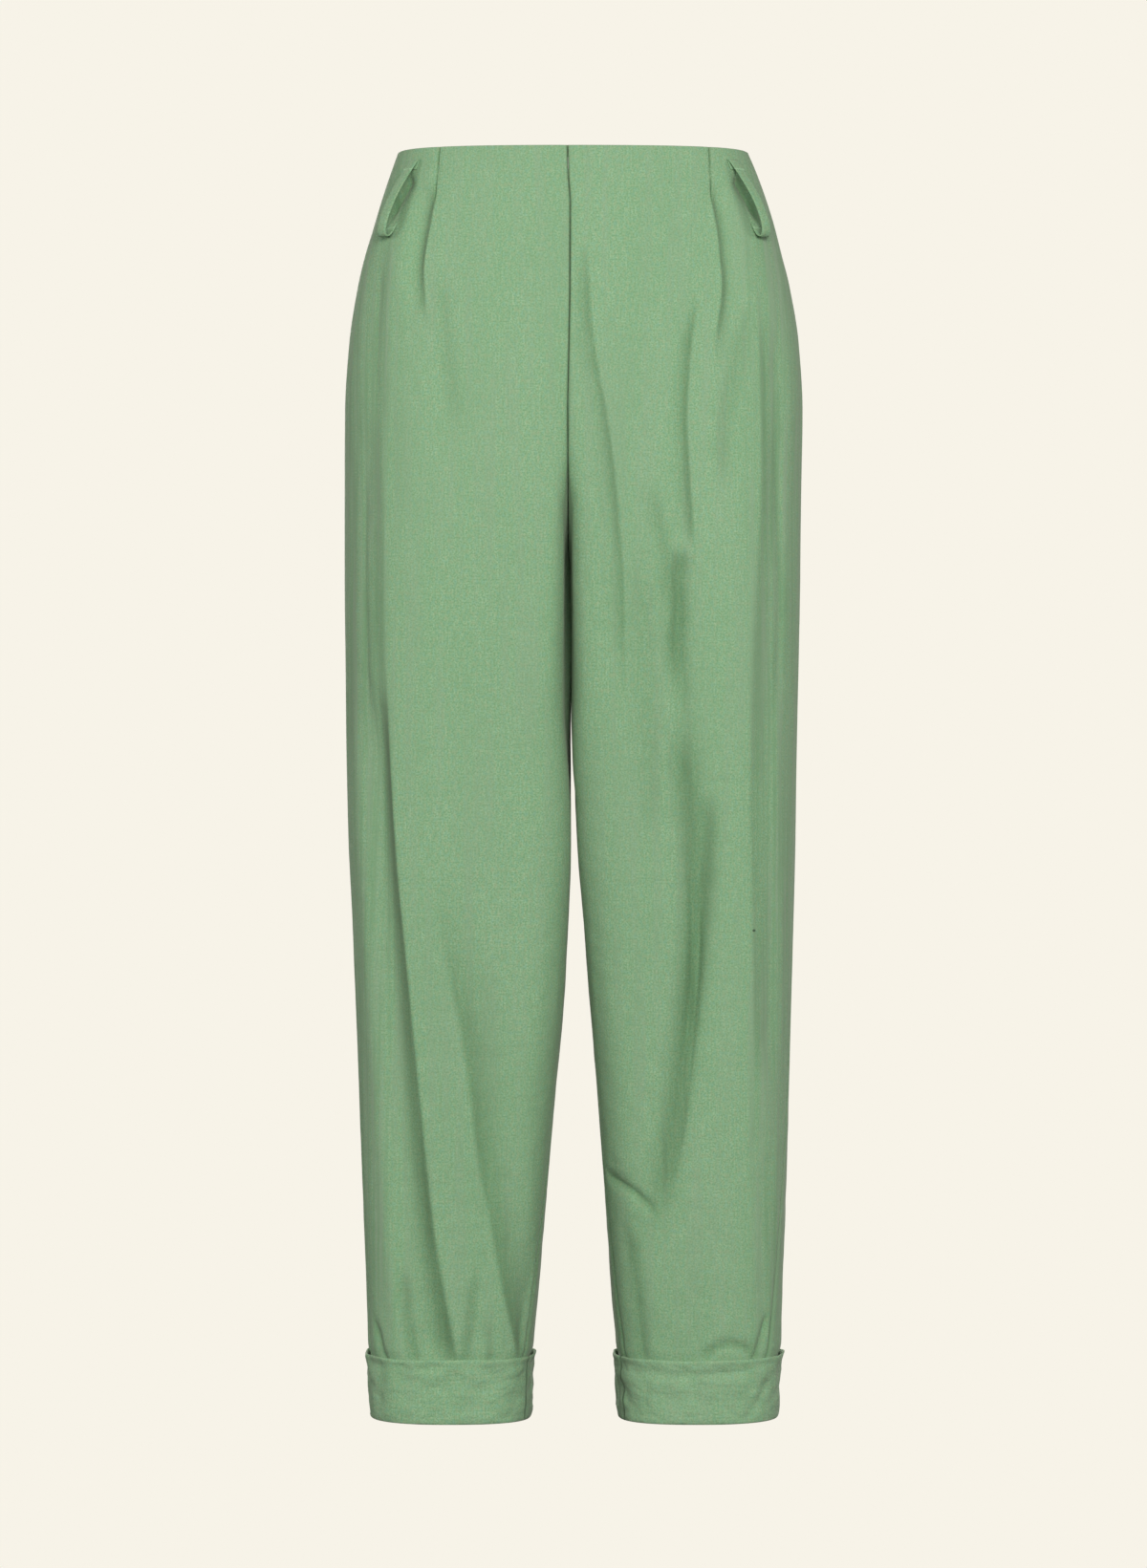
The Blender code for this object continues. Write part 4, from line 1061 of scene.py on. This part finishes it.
for leg in ("right", "left"):
    line = rounded(np.array(LOOP_PATH), LOOP_STEPS)
    along = np.gradient(line, axis=0)
    along /= np.hypot(along[:, 0], along[:, 1])[:, None]
    turned = np.stack([-along[:, 1], along[:, 0]], axis=1)
    lengths = np.append(0, np.cumsum(np.hypot(*np.diff(line, axis=0).T)))
    rows, uvs = [], []
    for k in range(len(line)):
        ring_points, ring_uv = [], []
        corners = [(s, t, 1) for s, t in zip(LOOP_SHARES, LOOP_THIN)]
        corners += [(s, t, -1) for s, t in zip(LOOP_SHARES[::-1], LOOP_THIN[::-1])]
        for share, thin, face in corners:
            off, down = line[k] + turned[k] * LOOP_CLOTH / 2 * thin * face
            outline = Outline(leg, LOOP_TOP - down)
            place = place_on_hip(leg, outline) + share * LOOP_WIDTH
            ring_points.append(outline.points(np.array([place]), off - 0.0006)[0])
            ring_uv.append((share * LOOP_WIDTH + face * 0.02, lengths[k]))
        rows.append(ring_points)
        uvs.append(ring_uv)
    rows, uvs = np.array(rows), np.array(uvs)
    around = rows.shape[1]
    form = bmesh.new()
    verts = [[form.verts.new(point) for point in row] for row in rows]
    cut_layer = form.loops.layers.uv.new("cut")
    for k in range(len(rows) - 1):
        for j in range(around):
            m = (j + 1) % around
            face = form.faces.new((verts[k][j], verts[k][m], verts[k + 1][m], verts[k + 1][j]))
            for loop, (a, b) in zip(face.loops, ((k, j), (k, m), (k + 1, m), (k + 1, j))):
                loop[cut_layer].uv = uvs[a, b]
    form.faces.new(verts[0])
    form.faces.new(verts[-1][::-1])
    bmesh.ops.recalc_face_normals(form, faces=form.faces[:])
    mesh = bpy.data.meshes.new(f"belt_loop_{leg}_cloth")
    form.to_mesh(mesh)
    form.free()
    mesh.polygons.foreach_set("use_smooth", [True] * len(mesh.polygons))
    mesh.materials.append(cotton_cloth(f"Cotton, belt loop {leg}", 43.0 if leg == "left" else 47.0))
    piece = bpy.data.objects.new(f"belt_loop_{leg}_cloth", mesh)
    bpy.context.scene.collection.objects.link(piece)
    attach(piece, "trousers")
    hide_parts(f"belt_loop_{leg}")
    for end, k, first in BARTACKS:
        across = rows[k, first : first + len(LOOP_SHARES)]
        ahead = rows[k + 1, first : first + len(LOOP_SHARES)] - across
        ahead = ahead.mean(axis=0) / np.linalg.norm(ahead.mean(axis=0))
        side = (across[-1] - across[0]) / np.linalg.norm(across[-1] - across[0])
        share = np.linspace(0.3, len(LOOP_SHARES) - 1.3, BARTACK_STITCHES)
        places = [np.interp(share, range(len(LOOP_SHARES)), across[:, axis]) for axis in range(3)]
        along = ahead + side * np.where(np.arange(BARTACK_STITCHES) % 2, 0.35, -0.35)[:, None]
        row_of_stitches(f"bartack_{end}_{leg}", thread_look, np.stack(places, axis=1), along, BARTACK_STITCH,
                        STITCH_THICK)


# The concealed zip at the centre back: woven tapes behind the edges of the back panels, and a small painted
# metal slider with a drop-shaped pull that hangs outside.
ZIP_LENGTH = 0.180
TAPE_WIDTH = 0.012
TAPE_CLOTH = 0.0010
TAPE_EDGE = 0.0011
TAPE_IN = -0.0012 - 0.0003 - SEAM_DIP * 1.2  # behind the back panels' walls and their dip at the seam
TAPE_ROWS, TAPE_COLUMNS = 60, 8

tape_look, start, shader = new_material("Zip tape, woven")
place = start.node("ShaderNodeTexCoord", output=3)
parts = start.node("ShaderNodeSeparateXYZ", None, {0: place})
height = Shade(parts.tree, parts.socket.node.outputs[2])
ribs = (height * (math.pi / 0.0008)).maths("SINE").maths("ABSOLUTE")
mottle = start.noise(place, 900.0, 2.0)
tape_colour = (ribs * 0.35 + mottle * 0.3).mix((0.300, 0.430, 0.290), (0.230, 0.350, 0.225))
tape_colour.into(shader, "Base Color")
relief = ribs + mottle * 0.4
bump = start.node("ShaderNodeBump", None, {"Strength": 0.5, "Distance": 0.0001, "Height": relief})
bump.into(shader, "Normal")
shader.inputs["Roughness"].default_value = 0.9

for leg in ("right", "left"):
    rows = []
    for z in np.linspace(-0.0015, -ZIP_LENGTH, TAPE_ROWS):
        outline = Outline(leg, z)
        from_seam = np.linspace(TAPE_WIDTH + TAPE_EDGE, TAPE_EDGE, TAPE_COLUMNS)
        rows.append(outline.points(outline.end - from_seam, TAPE_IN))
    rows = np.array(rows)
    uv = np.meshgrid(np.linspace(0, TAPE_WIDTH, TAPE_COLUMNS), np.linspace(0, ZIP_LENGTH, TAPE_ROWS))
    uv = np.stack(uv, axis=-1)
    piece = grid_piece(f"zip_tape_{leg}_woven", rows, uv, leg == "right", tape_look, TAPE_CLOTH)
    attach(piece, "trousers")
    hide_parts(f"zip_tape_{leg}")

# The coil's teeth between the tapes, below the slider
TOOTH_STEP = 0.0012
TEETH_TOP, TEETH_END = -0.018, -ZIP_LENGTH + 0.002
TOOTH_SHIFT = 0.0003  # to the left and right by turns
TOOTH_WIDE, TOOTH_THICK = 0.0018, 0.0009
teeth = []
for k, z in enumerate(np.arange(TEETH_TOP, TEETH_END, -TOOTH_STEP)):
    outline = Outline("left", z)
    _, y, height = outline.points(np.array([outline.end]), TAPE_IN - TAPE_CLOTH / 2)[0]
    teeth.append((TOOTH_SHIFT * (1 if k % 2 else -1), y, height))
crosswise = [(1, 0, 0)] * len(teeth)
row_of_stitches("zip_teeth", tape_look, teeth, crosswise, TOOTH_WIDE, TOOTH_THICK)

metal_look, start, shader = new_material("Zip metal, green enamel")
place = start.node("ShaderNodeTexCoord", output=3)
wear = start.noise(place, 700.0, 3.0, 0.6)
metal_colour = wear.mix((0.200, 0.340, 0.200), (0.260, 0.410, 0.250))
metal_colour.into(shader, "Base Color")
gloss = 0.34 + wear * 0.18
gloss.into(shader, "Roughness")
for node_name in ("zip_slider", "zip_pull"):
    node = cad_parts[node_name]
    node.data.materials.clear()
    node.data.materials.append(metal_look)
